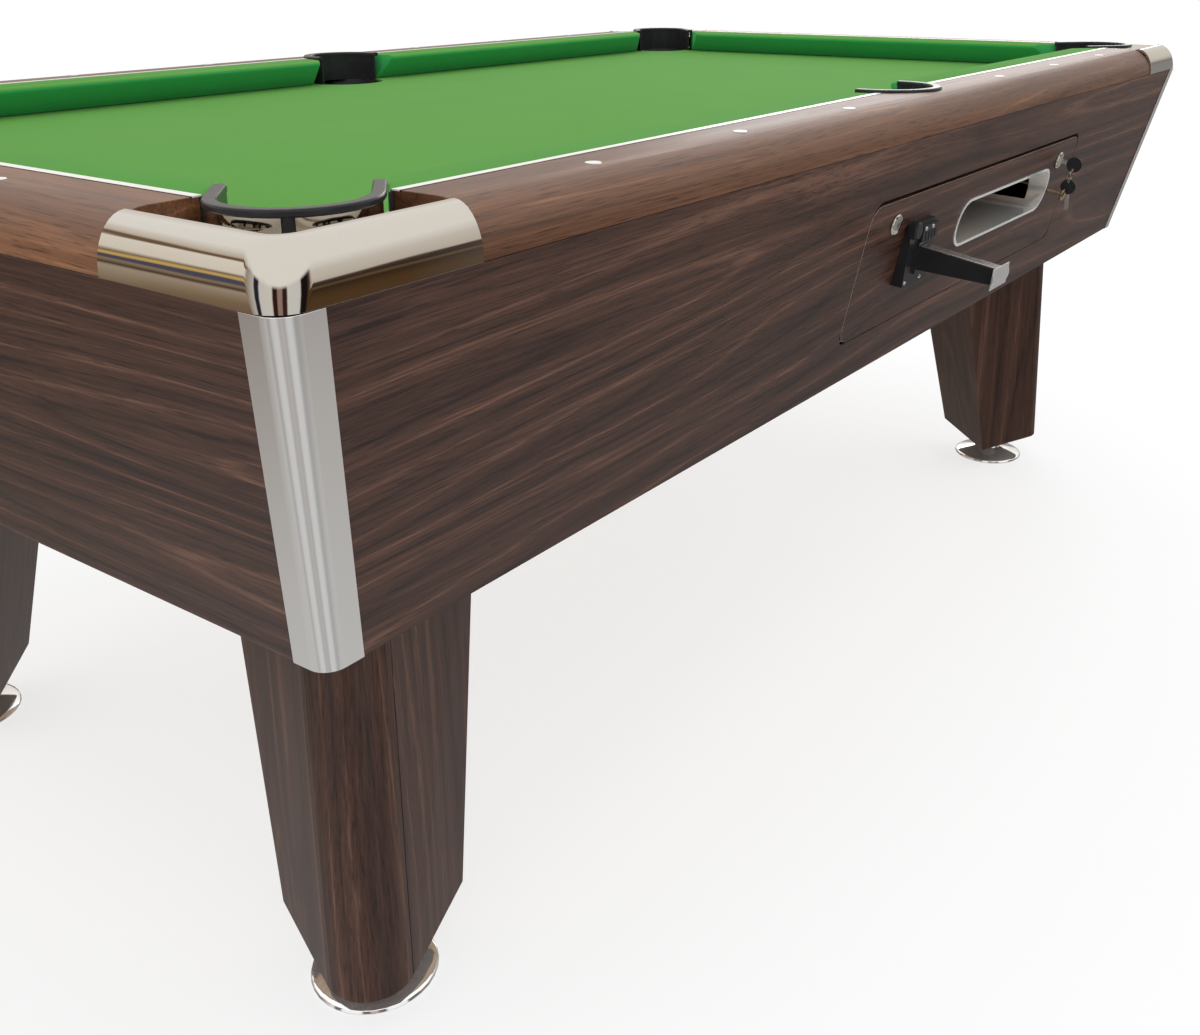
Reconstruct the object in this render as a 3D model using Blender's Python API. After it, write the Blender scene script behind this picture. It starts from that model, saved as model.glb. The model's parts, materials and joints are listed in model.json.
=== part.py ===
"""Coin-operated billiard table, in metres, +Z up.

The long sides face -Y (coin side) and +Y, the ends face -X and +X. Everything is
placed from the table's own centre line, and the whole table is then shifted so that
the middle of its footprint, with the coin slide out, is at the origin on the floor.
"""

import math

import bmesh
import bpy
from mathutils import Matrix, Vector

# Overall sizes, over the corner caps
LENGTH = 2.140
WIDTH = 1.214
HEIGHT = 0.806
RAIL_DEPTH = 0.043
CABINET_DEPTH = 0.299
BOTTOM_INSET = 0.066

# Fits
GAP = 0.0003
SLIDE_FIT = 0.0005

# Cabinet boards
PANEL_THICK = 0.028
PANEL_LIP = 0.012
RAIL_SETBACK = 0.002
BASE_THICK = 0.016
TRIM_WING = 0.0375
TRIM_RADIUS = 0.018
TRIM_THICK = 0.0015

# Bed
SLATE_THICK = 0.020
SLATE_CLEAR = 0.0015
SLATE_CORNER = 0.010
CLOTH_THICK = 0.0015

# Rails and cushions
RAIL_WIDTH = 0.086
BULLNOSE = 0.040
CUSHION_WIDTH = 0.050
NOSE_HEIGHT = 0.036
CUSHION_TOE = 0.020

# Corner caps
CAP_PAST_RAIL = 0.096
CAP_RADIUS = 0.042
CAP_INNER_RADIUS = 0.012
CAP_WALL = 0.0035
CAP_CREST = 0.026
WELL_EDGE = 0.040
WELL_DROP = 0.015

# Pockets, set in from the rails' inner edge
POCKET_PAST_RAIL = 0.033
MIDDLE_PAST_RAIL = 0.018
POCKET_RADIUS = 0.0525
MIDDLE_RADIUS = 0.057
BOOT_NARROWS = 0.007
BOOT_BELOW = 0.0067
LINER_WALL = 0.004
COLLAR_WIDTH = 0.011
COLLAR_PROUD = 0.0035
COLLAR_THICK = 0.006
COLLAR_EDGE = 0.0024
LINER_STEP = 0.0006
CORNER_ARM = 0.0485
MIDDLE_ARM = 0.012
MIDDLE_FLARE = 0.27
POST_RADIUS = 0.005
GUARD_THICK = 0.0028
GUARD_REACH = 0.008

# Legs and feet
FOOT_INSET = 0.215
FOOT_RADIUS = 0.064
FOOT_RIM = 0.003
FOOT_CROWN = 0.009
FOOT_DISH = 0.006
FOOT_NECK = 0.021
NECK_FLARE = 0.010
NECK_LOW = 0.022
STUD_RADIUS = 0.008
STUD_LENGTH = 0.030
LEG_Z = 0.045
LEG_NOSE_RADIUS = 0.0436
LEG_BACK_LOW = -0.057
LEG_BACK_HIGH = -0.146
LEG_HALF_LOW = 0.092
LEG_HALF_HIGH = 0.126
LEG_NOSE_LOW = 0.0925
LEG_NOSE_HIGH = 0.070
SEAM_WIDTH = 0.0012
SEAM_DEPTH = 0.0015

# Ball runs under the bed
RUN_HALF = 0.0465
RUN_WALL = 0.004
RUN_DEPTH = 0.045
RUN_END = 0.070
RUN_PAST_RAIL = 0.030
RUN_BELOW_SLATE = 0.0597
FRONT_FALL = 0.028
BACK_FALL = 0.010
CROSS_DROP = 0.003
TRAP_X = 0.280
TRAP_LENGTH = 0.072
TRAP_WIDTH = 0.064
TRAP_THICK = 0.003
TRAP_PIN = 0.0022
TRAP_CLEAR = 0.001
CROSS_HALF = 0.033
HANGER_LENGTH = 0.024
HANGER_FROM_END = 0.200
HANGER_FROM_TRAP = 0.120

# Cash box on the base board
CASH_WIDTH = 0.150
CASH_DEPTH = 0.130
CASH_HEIGHT = 0.070
CASH_WALL = 0.002
CASH_SET_IN = 0.060

# Coin door, measured along the leaning face of the front panel
DOOR_LEFT = -0.204
DOOR_RIGHT = 0.563
DOOR_BELOW_RAIL = 0.242
DOOR_RISE = 0.174
DOOR_THICK = 0.020
DOOR_CORNER = 0.022
DOOR_FOOT_CORNER = 0.016
DOOR_SIDE_GAP = 0.0012
DOOR_BOTTOM_GAP = 0.0015
DOOR_TOP_GAP = 0.005
PIVOT_DEPTH = 0.0024
PIVOT_RISE = 0.004
PIVOT_RADIUS = 0.0016
PIVOT_LENGTH = 0.008

# Ball window and tray in the door
WINDOW_LEFT = 0.095
WINDOW_RIGHT = 0.462
WINDOW_RISE = 0.0696
WINDOW_HEIGHT = 0.0635
WINDOW_CORNER = 0.030
TRAY_WALL = 0.0015
TRAY_RIM = 0.0028
TRAY_TILT = math.radians(3.5)
TRAY_DEPTH = 0.116
TRAY_LIP = 0.010

# Cam locks and keys
LOCK_LEFT_X = -0.128
LOCK_RIGHT_X = 0.486
LOCK_RISE = 0.1425
LOCK_FACE_RADIUS = 0.0135
LOCK_FACE_PROUD = 0.0035
LOCK_FACE_EDGE = 0.0015
PLUG_RECESS = 0.0005
BARREL_RADIUS = 0.0095
PLUG_RADIUS = 0.0065
CAM_LENGTH = 0.045
CAM_WIDTH = 0.014
CAM_THICK = 0.003
CAM_BEHIND = 0.002
KEYWAY_WIDTH = 0.0014
KEYWAY_HEIGHT = 0.0070
KEY_REACH = 0.018
KEY_THICK = 0.0010
KEY_HEIGHT = 0.0064
KEY_STEM = 0.011
BOW_RADIUS = 0.0115
BOW_THICK = 0.0024
BOW_HOLE = 0.0024
BOW_HOLE_DROP = 0.0080
RING_RADIUS = 0.0085
RING_WIRE = 0.0008
SPARE_BLADE = 0.026

# Pull knob beside the window
KNOB_X = 0.473
KNOB_RISE = 0.0955
KNOB_STEM = 0.003
KNOB_REACH = 0.024
KNOB_RADIUS = 0.0095
KNOB_THICK = 0.006
KNOB_TRAVEL = 0.025
KNOB_COLLAR = 0.006

# Coin mechanism, set square to its own slide, which droops less than the door leans
MECH_TILT = math.radians(6.5)
MECH_X = -0.049
MECH_RISE = 0.0895
MECH_LEFT = 0.039
MECH_RIGHT = 0.038
MECH_LOW = 0.036
MECH_HIGH = 0.045
MECH_PROUD = 0.012
MECH_CORNER = 0.004
BOSS_X = -0.033
BOSS_Z = 0.039
BOSS_RADIUS = 0.0115
BOSS_PROUD = 0.008
FIN_BLOCK_LEFT = -0.012
FIN_BLOCK_LOW = 0.022
FIN_BLOCK_PROUD = 0.005
FIN_COUNT = 4
FIN_SLOT = 0.0028
SLIDE_WIDTH = 0.020
SLIDE_HEIGHT = 0.032
SLIDE_TIP_HEIGHT = 0.022
SLIDE_OUT = 0.1163
SLIDE_IN = 0.045
GUIDE_WALL = 0.004
GUIDE_DEPTH = 0.060
STRIP_THICK = 0.0016
HANDLE_WIDTH = 0.055
HANDLE_HEIGHT = 0.027
HANDLE_THICK = 0.003
HANDLE_BOW = 0.006

# Values that follow from the sizes above
SEAM_Z = HEIGHT - RAIL_DEPTH
CABINET_Z = SEAM_Z - CABINET_DEPTH
DOOR_Z = SEAM_Z - DOOR_BELOW_RAIL
LEAN = BOTTOM_INSET / CABINET_DEPTH
SLOPE = math.atan(LEAN)
WALL = PANEL_THICK / math.cos(SLOPE)
SLATE_TOP = SEAM_Z - GAP
SLATE_LOW = SLATE_TOP - SLATE_THICK
BED_Z = SEAM_Z + CLOTH_THICK
CAP_LEG = RAIL_WIDTH + CAP_PAST_RAIL
WELL_Z = HEIGHT - WELL_DROP
POCKET_INSET = RAIL_WIDTH + POCKET_PAST_RAIL
MIDDLE_INSET = RAIL_WIDTH + MIDDLE_PAST_RAIL
BOOT_Z = SLATE_LOW - BOOT_BELOW
COLLAR_TOP = HEIGHT + COLLAR_PROUD
COLLAR_LOW = COLLAR_TOP - COLLAR_THICK
RUN_INSET = RAIL_WIDTH + RUN_PAST_RAIL
RUN_START_Z = SLATE_LOW - RUN_BELOW_SLATE
RUN_TOP = RUN_START_Z + RUN_DEPTH
FRONT_LOW_Z = RUN_START_Z - FRONT_FALL
BACK_LOW_Z = RUN_START_Z - BACK_FALL
RUN_FLAT = TRAP_LENGTH / 2 + TRAP_CLEAR * 6
FOOT_X = LENGTH / 2 - FOOT_INSET
FOOT_Y = WIDTH / 2 - FOOT_INSET
EYE_PLAY = BOW_HOLE - RING_WIRE - GAP
CORNERS = {
    "front_left": (-1, -1),
    "front_right": (1, -1),
    "back_left": (-1, 1),
    "back_right": (1, 1),
}


def clear_scene():
    for old in list(bpy.data.objects):
        bpy.data.objects.remove(old, do_unlink=True)


def material(name, colour, roughness, metallic=0.0):
    made = bpy.data.materials.new(name)
    made.use_nodes = True
    shader = made.node_tree.nodes["Principled BSDF"]
    shader.inputs["Base Color"].default_value = (*colour, 1.0)
    shader.inputs["Roughness"].default_value = roughness
    shader.inputs["Metallic"].default_value = metallic
    return made


def empty(name, parent=None, location=(0, 0, 0), rotation=(0, 0, 0)):
    made = bpy.data.objects.new(name, None)
    bpy.context.scene.collection.objects.link(made)
    made.parent = parent
    made.location = location
    made.rotation_euler = rotation
    return made


def solid(name, shape, finish, parent, location=(0, 0, 0), rotation=(0, 0, 0)):
    """An object from a bmesh, with its faces turned outwards."""
    bmesh.ops.remove_doubles(shape, verts=shape.verts, dist=1e-7)
    bmesh.ops.recalc_face_normals(shape, faces=shape.faces)
    mesh = bpy.data.meshes.new(name)
    shape.to_mesh(mesh)
    shape.free()
    made = bpy.data.objects.new(name, mesh)
    bpy.context.scene.collection.objects.link(made)
    if finish:
        mesh.materials.append(finish)
    mesh.shade_smooth()
    mesh.set_sharp_from_angle(angle=math.radians(30))
    made.parent = parent
    made.location = location
    made.rotation_euler = rotation
    return made


def tool(name, shape, parent, location=(0, 0, 0), rotation=(0, 0, 0)):
    """A cutter or a piece to be fused: drawn as wire and left out of the part."""
    made = solid(name, shape, None, parent, location, rotation)
    made.hide_render = True
    made.display_type = "WIRE"
    return made


def boolean(target, other, operation):
    step = target.modifiers.new(other.name, "BOOLEAN")
    step.object = other
    step.operation = operation
    step.solver = "EXACT"


def cut(target, other):
    boolean(target, other, "DIFFERENCE")


def fuse(target, other):
    boolean(target, other, "UNION")


def loft(loops, ring=False):
    """Skins a row of loops with equal point counts, capped at both ends unless it closes on itself."""
    shape = bmesh.new()
    rows = [[shape.verts.new(point) for point in loop] for loop in loops]
    pairs = list(zip(rows, rows[1:]))
    if ring:
        pairs.append((rows[-1], rows[0]))
    for low, high in pairs:
        for i in range(len(low)):
            j = (i + 1) % len(low)
            shape.faces.new((low[i], low[j], high[j], high[i]))
    if not ring:
        shape.faces.new(rows[0])
        shape.faces.new(rows[-1])
    return shape


def prism(outline, low, high, axis="Z"):
    """Extrudes a flat outline along one axis; the outline holds the other two axes in order."""

    def place(point, along):
        first, second = point
        if axis == "X":
            return Vector((along, first, second))
        if axis == "Y":
            return Vector((first, along, second))
        return Vector((first, second, along))

    return loft([[place(p, low) for p in outline], [place(p, high) for p in outline]])


def box(x0, x1, y0, y1, z0, z1):
    return prism([(x0, y0), (x1, y0), (x1, y1), (x0, y1)], z0, z1)


def arc(centre, radius, start, end, steps):
    """Points on a circle arc, angles in degrees."""
    points = []
    for i in range(steps + 1):
        angle = math.radians(start + (end - start) * i / steps)
        points.append((centre[0] + radius * math.cos(angle), centre[1] + radius * math.sin(angle)))
    return points


def rounded(x0, x1, z0, z1, radius, steps=6, low_radius=None):
    """A rectangle outline with round corners; the two lower ones may have their own radius."""
    low = low_radius or radius
    return (
        arc((x1 - low, z0 + low), low, -90, 0, steps)
        + arc((x1 - radius, z1 - radius), radius, 0, 90, steps)
        + arc((x0 + radius, z1 - radius), radius, 90, 180, steps)
        + arc((x0 + low, z0 + low), low, 180, 270, steps)
    )


def turned(profile, axis="Z", steps=24, ring=False):
    """Turns (radius, height) points about an axis; a ring profile closes on itself round a bore."""
    loops = []
    for radius, along in profile:
        loop = []
        for i in range(steps):
            angle = 2 * math.pi * i / steps
            across = (radius * math.cos(angle), radius * math.sin(angle))
            if axis == "Y":
                loop.append(Vector((across[0], along, across[1])))
            elif axis == "X":
                loop.append(Vector((along, across[0], across[1])))
            else:
                loop.append(Vector((across[0], across[1], along)))
        loops.append(loop)
    return loft(loops, ring)


def beside(points, distance):
    """The same run of points moved sideways, to the left of its direction, with mitred corners."""
    moved = []
    for i, point in enumerate(points):
        here = Vector(point)
        normals = []
        if i > 0:
            step = (here - Vector(points[i - 1])).normalized()
            normals.append(Vector((-step.y, step.x)))
        if i < len(points) - 1:
            step = (Vector(points[i + 1]) - here).normalized()
            normals.append(Vector((-step.y, step.x)))
        middle = sum(normals, Vector((0, 0))).normalized()
        moved.append(tuple(here + middle * distance / middle.dot(normals[0])))
    return moved


def inset_at(z):
    """How far the leaning boards stand in from their top edge at a height."""
    return (SEAM_Z - z) * LEAN


def corner_point(sides, x_in, y_in, z):
    """A point by its distances in from the end and from the long side at one corner."""
    return Vector((sides[0] * (LENGTH / 2 - x_in), sides[1] * (WIDTH / 2 - y_in), z))


def side_point(side, along, inset, z):
    """A point by its place along one side of the table and its distance in from that side."""
    if side == "front":
        return Vector((along, inset - WIDTH / 2, z))
    if side == "back":
        return Vector((along, WIDTH / 2 - inset, z))
    if side == "left":
        return Vector((inset - LENGTH / 2, along, z))
    return Vector((LENGTH / 2 - inset, along, z))


# Cabinet: four leaning boards with a rabbet that seats the slate, and a base board


def panel_section():
    """The board's section as (inset, height) points, from the outer top edge to the outer bottom."""
    seat = SLATE_LOW - GAP
    return [
        (RAIL_SETBACK, SEAM_Z - GAP),
        (PANEL_LIP, SEAM_Z - GAP),
        (PANEL_LIP, seat),
        (RAIL_SETBACK + inset_at(seat) + WALL, seat),
        (RAIL_SETBACK + inset_at(CABINET_Z) + WALL, CABINET_Z),
        (RAIL_SETBACK + inset_at(CABINET_Z), CABINET_Z),
    ]


def long_panel(name, side, finish, parent):
    """A side board that runs the full length, chamfered where the corner trim rounds the corner."""
    chamfer = TRIM_RADIUS

    def loop(direction, back):
        points = []
        for inset, z in panel_section():
            outer = RAIL_SETBACK + inset_at(z)
            depth = inset if back else max(inset, outer + chamfer)
            end = LENGTH / 2 - outer - (chamfer if back else 0)
            points.append(side_point(side, direction * end, depth, z))
        return points

    loops = [loop(-1, False), loop(-1, True), loop(1, True), loop(1, False)]
    return solid(name, loft(loops), finish, parent)


def end_panel(name, side, finish, parent):
    """An end board that butts between the two side boards."""

    def loop(direction):
        points = []
        for inset, z in panel_section():
            end = WIDTH / 2 - RAIL_SETBACK - inset_at(z) - WALL - GAP
            points.append(side_point(side, direction * end, inset, z))
        return points

    return solid(name, loft([loop(-1), loop(1)]), finish, parent)


def base_board(finish, parent):
    def loop(z):
        inner = RAIL_SETBACK + inset_at(z) + WALL + GAP
        return [corner_point(sides, inner, inner, z) for sides in ((-1, -1), (1, -1), (1, 1), (-1, 1))]

    return solid("base_board", loft([loop(CABINET_Z), loop(CABINET_Z + BASE_THICK)]), finish, parent)


def corner_trim(name, sides, finish, parent):
    """A thin metal angle with a round nose that covers the joint of two boards."""
    centre = (TRIM_RADIUS, TRIM_RADIUS)
    outer = [(TRIM_WING, 0), *arc(centre, TRIM_RADIUS, 270, 180, 8), (0, TRIM_WING)]
    inner = beside(outer, -TRIM_THICK)
    section = outer + inner[::-1]

    def loop(z):
        proud = RAIL_SETBACK + inset_at(z) - TRIM_THICK - GAP
        return [corner_point(sides, x + proud, y + proud, z) for x, y in section]

    return solid(name, loft([loop(CABINET_Z), loop(SEAM_Z - GAP)]), finish, parent)


def cabinet(wood, metal, parent):
    front = long_panel("front_panel", "front", wood, parent)
    long_panel("back_panel", "back", wood, parent)
    end_panel("left_end_panel", "left", wood, parent)
    end_panel("right_end_panel", "right", wood, parent)
    base_board(wood, parent)
    for corner, sides in CORNERS.items():
        corner_trim("corner_trim_" + corner, sides, metal, parent)
    return front


# Bed: slate on the boards' rabbet, with cloth over it and six pocket holes


def pocket_places():
    """Each pocket's name, centre, the direction in which its mouth opens, radius and arm length."""
    places = {}
    for corner, sides in CORNERS.items():
        centre = corner_point(sides, POCKET_INSET, POCKET_INSET, 0)
        mouth = Vector((-sides[0], -sides[1], 0)).normalized()
        places["corner_pocket_" + corner] = (centre, mouth, POCKET_RADIUS, CORNER_ARM)
    for side, sign in (("front", -1), ("back", 1)):
        centre = Vector((0, sign * (WIDTH / 2 - MIDDLE_INSET), 0))
        places["middle_pocket_" + side] = (centre, Vector((0, -sign, 0)), MIDDLE_RADIUS, MIDDLE_ARM)
    return places


def bed(slate_finish, cloth_finish, parent):
    edge = PANEL_LIP + SLATE_CLEAR
    clip = TRIM_RADIUS + SLATE_CORNER
    outline = []
    for sides, first in (((1, -1), False), ((1, 1), True), ((-1, 1), False), ((-1, -1), True)):
        ends = [(edge + clip, edge), (edge, edge + clip)]
        for x_in, y_in in ends[::-1] if first else ends:
            outline.append(corner_point(sides, x_in, y_in, 0).to_2d())
    slate = solid("slate_bed", prism(outline, SLATE_LOW, SLATE_TOP), slate_finish, parent)
    x, y = LENGTH / 2 - RAIL_WIDTH, WIDTH / 2 - RAIL_WIDTH
    cloth = solid("bed_cloth", box(-x, x, -y, y, SEAM_Z, BED_Z), cloth_finish, parent)
    for name, (centre, mouth, radius, arm) in pocket_places().items():
        room = radius + LINER_WALL + SLATE_CLEAR
        low, high = SLATE_LOW - SLATE_THICK, BED_Z + SLATE_THICK
        hole = tool(name + "_hole", turned([(room, low), (room, high)], steps=32), parent, centre)
        cut(cloth, hole)
        if arm == MIDDLE_ARM:
            cut(slate, hole)
            continue
        outward = (0, 0, math.atan2(-mouth.y, -mouth.x))
        bite = prism(pocket_outline(room, POCKET_INSET * 2), low, high)
        cut(slate, tool(name + "_bite", bite, parent, centre, outward))


# Rails: bullnose boards between the corner caps, with the cushions along their inner edge


def rail_section():
    """(inset, height) points of the rail, with a quarter-round outer edge."""
    nose = arc((RAIL_SETBACK + BULLNOSE, HEIGHT - BULLNOSE), BULLNOSE, 180, 90, 10)
    return [(RAIL_SETBACK, SEAM_Z), *nose, (RAIL_WIDTH, HEIGHT), (RAIL_WIDTH, SEAM_Z)]


def rail(name, side, finish, parent):
    half = (LENGTH if side in ("front", "back") else WIDTH) / 2 - CAP_LEG - GAP
    loops = [[side_point(side, end, inset, z) for inset, z in rail_section()] for end in (-half, half)]
    return solid(name, loft(loops), finish, parent)


def cushion_section():
    """(inset, height) points of the cushion: flat top, round nose, undercut face and a toe on the cloth."""
    root = RAIL_WIDTH + GAP
    tip = RAIL_WIDTH + CUSHION_WIDTH
    low = BED_Z + GAP
    nose_radius = HEIGHT - BED_Z - NOSE_HEIGHT
    nose = arc((tip - nose_radius, HEIGHT - nose_radius), nose_radius, 90, -40, 5)
    return [(root, HEIGHT), *nose, (root + CUSHION_TOE, low), (root, low)]


def cushion(name, side, starts, ends, finish, parent):
    """One cushion; starts and ends give its two cut faces as a place along the side for each inset."""
    loops = []
    for cut_face in (starts, ends):
        loops.append([side_point(side, cut_face(inset), inset, z) for inset, z in cushion_section()])
    return solid(name, loft(loops), finish, parent)


def rails_and_cushions(wood, cloth, parent):
    corner_reach = (POCKET_RADIUS + COLLAR_WIDTH + GAP) * math.sqrt(2)
    middle_reach = MIDDLE_RADIUS + COLLAR_WIDTH + GAP

    def corner_face(half, sign):
        return lambda inset: sign * (half - inset - corner_reach)

    def middle_face(sign):
        return lambda inset: sign * (middle_reach + max(0.0, inset - RAIL_WIDTH) * MIDDLE_FLARE)

    outline = pocket_outline(middle_reach, RAIL_WIDTH)
    notch = prism(outline, SEAM_Z - RAIL_DEPTH, HEIGHT + RAIL_DEPTH)
    for side in ("front", "back"):
        board = rail(side + "_rail", side, wood, parent)
        centre, mouth, _, _ = pocket_places()["middle_pocket_" + side]
        turn = math.atan2(mouth.y, mouth.x)
        notch_tool = tool(side + "_rail_notch", notch.copy(), parent, centre, (0, 0, turn))
        cut(board, notch_tool)
        half = LENGTH / 2
        cushion(side + "_cushion_left", side, corner_face(half, -1), middle_face(-1), cloth, parent)
        cushion(side + "_cushion_right", side, middle_face(1), corner_face(half, 1), cloth, parent)
    notch.free()
    for side in ("left", "right"):
        rail(side + "_rail", side, wood, parent)
        half = WIDTH / 2
        cushion(side + "_cushion", side, corner_face(half, -1), corner_face(half, 1), cloth, parent)


# Corner caps: chromed castings that carry the bullnose round the corner, with a sunk well for the pocket


def cap_section():
    """(inset, height) points of the cap's outer skin, from the lower edge over the crest to the well."""
    radius = HEIGHT - SEAM_Z - GAP
    skin = [(0, SEAM_Z + GAP)]
    skin.append((0, SEAM_Z + GAP + CAP_WALL))
    rise = radius - CAP_WALL
    for step in range(1, 10):
        angle = math.radians(90 * step / 9)
        skin.append((CAP_CREST * (1 - math.cos(angle)), HEIGHT - rise + rise * math.sin(angle)))
    fall = WELL_EDGE - CAP_CREST
    for step in range(1, 5):
        angle = math.radians(90 * step / 4)
        skin.append((CAP_CREST + fall * math.sin(angle), HEIGHT - WELL_DROP * (1 - math.cos(angle))))
    skin.append((RAIL_WIDTH - GAP, WELL_Z))
    return skin


def corner_cap(name, sides, finish, parent):
    outer = cap_section()
    section = outer + beside(outer, -CAP_WALL)[::-1]

    def loop(place):
        return [corner_point(sides, *place(inset), z) for inset, z in section]

    def round_corner(angle):
        def place(inset):
            radius = max(CAP_RADIUS - inset, CAP_INNER_RADIUS)
            centre = inset + radius
            return centre - radius * math.cos(angle), centre - radius * math.sin(angle)

        return place

    steps = 10
    loops = [loop(lambda inset: (CAP_LEG, inset))]
    for step in range(steps + 1):
        loops.append(loop(round_corner(math.pi / 2 * (1 - step / steps))))
    loops.append(loop(lambda inset: (inset, CAP_LEG)))
    return solid(name, loft(loops), finish, parent)


# Pockets: a black collar on a moulded liner that narrows to a boot below the slate


def pocket_outline(radius, arm, steps=16):
    """A horseshoe outline open along +X: a half circle at the back and two straight arms."""
    return [(arm, -radius), (arm, radius), *arc((0, 0), radius, 90, 270, steps)]


def upright_wall(radius, arm, steps=16):
    """The liner's wall, up into the collar: from the boot at the back, from the cloth on the arms."""
    inner, outer = radius + LINER_STEP, radius + LINER_WALL
    high = COLLAR_LOW + COLLAR_THICK / 2
    deep = SLATE_TOP - LINER_WALL * 1.5
    shallow = BED_Z + GAP

    def section(low):
        return [(inner, low), (outer, low), (outer, high), (inner, high)]

    tip = arm - LINER_STEP
    step = LINER_STEP * 2
    loops = [[Vector((x, r, z)) for r, z in section(shallow)] for x in (tip, step)]
    for i in range(steps + 1):
        angle = math.pi / 2 + math.pi * i / steps
        around = [(r * math.cos(angle), r * math.sin(angle), z) for r, z in section(deep)]
        loops.append([Vector(point) for point in around])
    loops += [[Vector((x, -r, z)) for r, z in section(shallow)] for x in (step, tip)]
    return loft(loops)


def collar_band(radius, arm, steps=16):
    """The collar: a band with a rounded section swept round the horseshoe."""
    edge = COLLAR_EDGE
    outer = radius + COLLAR_WIDTH
    section = [
        (radius, COLLAR_LOW),
        (outer - edge / 2, COLLAR_LOW),
        (outer, COLLAR_LOW + edge / 2),
        *arc((outer - edge, COLLAR_TOP - edge), edge, 0, 90, 3),
        *arc((radius + edge, COLLAR_TOP - edge), edge, 90, 180, 3),
    ]
    loops = [[Vector((arm, r, z)) for r, z in section]]
    for step in range(steps + 1):
        angle = math.pi / 2 + math.pi * step / steps
        loops.append([Vector((r * math.cos(angle), r * math.sin(angle), z)) for r, z in section])
    loops.append([Vector((arm, -r, z)) for r, z in section])
    return loft(loops)


def collar_post(radius, thick, low, high):
    """The post that holds the back of a corner collar up off the cap's well."""
    post = turned([(thick, low), (thick, high)], steps=12)
    back = radius + COLLAR_WIDTH - POST_RADIUS - LINER_STEP
    bmesh.ops.translate(post, verts=post.verts, vec=(-back, 0, 0))
    return post


def pocket(name, place, finish, parent):
    """Collar, upright wall behind the mouth and boot, each let a little into the next."""
    centre, mouth, radius, arm = place
    turn = (0, 0, math.atan2(mouth.y, mouth.x))
    collar = solid(name, collar_band(radius, arm), finish, parent, centre, turn)
    step = LINER_STEP
    fuse(collar, tool(name + "_wall", upright_wall(radius, arm), parent, centre, turn))
    boot = radius - BOOT_NARROWS
    profile = [
        (radius + LINER_WALL - step / 2, SLATE_TOP),
        (radius + step / 2, SLATE_TOP),
        (boot, BOOT_Z),
        (boot + LINER_WALL, BOOT_Z),
    ]
    fuse(collar, tool(name + "_boot", turned(profile, steps=32, ring=True), parent, centre, turn))
    if arm == CORNER_ARM:
        post = collar_post(radius, POST_RADIUS, WELL_Z, COLLAR_LOW + COLLAR_THICK / 2)
        fuse(collar, tool(name + "_post", post, parent, centre, turn))
    return collar


def guard_outline(clear, steps=16):
    """The casting's upright guard round the back of a pocket, drawn over-thick on its inner side."""
    outer, inner = clear + GUARD_THICK, clear - GUARD_THICK
    outside = [(GUARD_REACH, outer), *arc((0, 0), outer, 90, 270, steps), (GUARD_REACH, -outer)]
    inside = [(GUARD_REACH, inner), *arc((0, 0), inner, 90, 270, steps), (GUARD_REACH, -inner)]
    return outside + inside[::-1]


def caps_and_pockets(chrome, black, parent):
    places = pocket_places()
    for corner, sides in CORNERS.items():
        cap = corner_cap("corner_cap_" + corner, sides, chrome, parent)
        centre, mouth, radius, arm = places["corner_pocket_" + corner]
        turn = (0, 0, math.atan2(mouth.y, mouth.x))
        clear = radius + LINER_WALL + SLATE_CLEAR
        guard = prism(guard_outline(clear), WELL_Z - CAP_WALL / 2, COLLAR_LOW - GAP)
        fuse(cap, tool("corner_cap_" + corner + "_guard", guard, parent, centre, turn))
        outline = pocket_outline(clear, arm + COLLAR_WIDTH)
        room = prism(outline, SEAM_Z - RAIL_DEPTH, HEIGHT + RAIL_DEPTH)
        cut(cap, tool("corner_cap_" + corner + "_room", room, parent, centre, turn))
        seat = collar_post(radius, POST_RADIUS + GAP, WELL_Z - GAP, HEIGHT + RAIL_DEPTH)
        cut(cap, tool("corner_cap_" + corner + "_post_seat", seat, parent, centre, turn))
    for name, place in places.items():
        pocket(name, place, black, parent)


# Legs: three-sided boxes set across the corners, with a round nose and a seam beside it


def leg_section(back, half, nose):
    """(along, across) points about the foot's centre; along runs outwards on the corner's diagonal."""
    centre = nose - LEG_NOSE_RADIUS
    span = math.hypot(centre - back, half)
    lean = math.atan2(half, centre - back) - math.asin(LEG_NOSE_RADIUS / span)
    sweep = 90 - math.degrees(lean)
    points = [(back, half), *arc((centre, 0), LEG_NOSE_RADIUS, sweep, -sweep, 12)]
    end = Vector(points[-1])
    run = (Vector((back, -half)) - end).normalized()
    inward = Vector((run.y, -run.x))
    groove = [
        end + inward * SEAM_DEPTH,
        end + run * SEAM_WIDTH + inward * SEAM_DEPTH,
        end + run * SEAM_WIDTH,
    ]
    return [*points, *(tuple(p) for p in groove), (back, -half)]


def leg(name, sides, finish, parent):
    def loop(section, z):
        points = []
        for along, across in section:
            x = FOOT_X + (along + across) / math.sqrt(2)
            y = FOOT_Y + (along - across) / math.sqrt(2)
            points.append(Vector((sides[0] * x, sides[1] * y, z)))
        return points

    low = leg_section(LEG_BACK_LOW, LEG_HALF_LOW, LEG_NOSE_LOW)
    high = leg_section(LEG_BACK_HIGH, LEG_HALF_HIGH, LEG_NOSE_HIGH)
    made = solid(name, loft([loop(low, LEG_Z), loop(high, CABINET_Z - GAP)]), finish, parent)
    bore_radius = STUD_RADIUS + SLIDE_FIT
    bore = turned([(bore_radius, LEG_Z - STUD_LENGTH), (bore_radius, LEG_Z + STUD_LENGTH)])
    cut(made, tool(name + "_bore", bore, parent, (sides[0] * FOOT_X, sides[1] * FOOT_Y, 0)))
    return made


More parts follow.
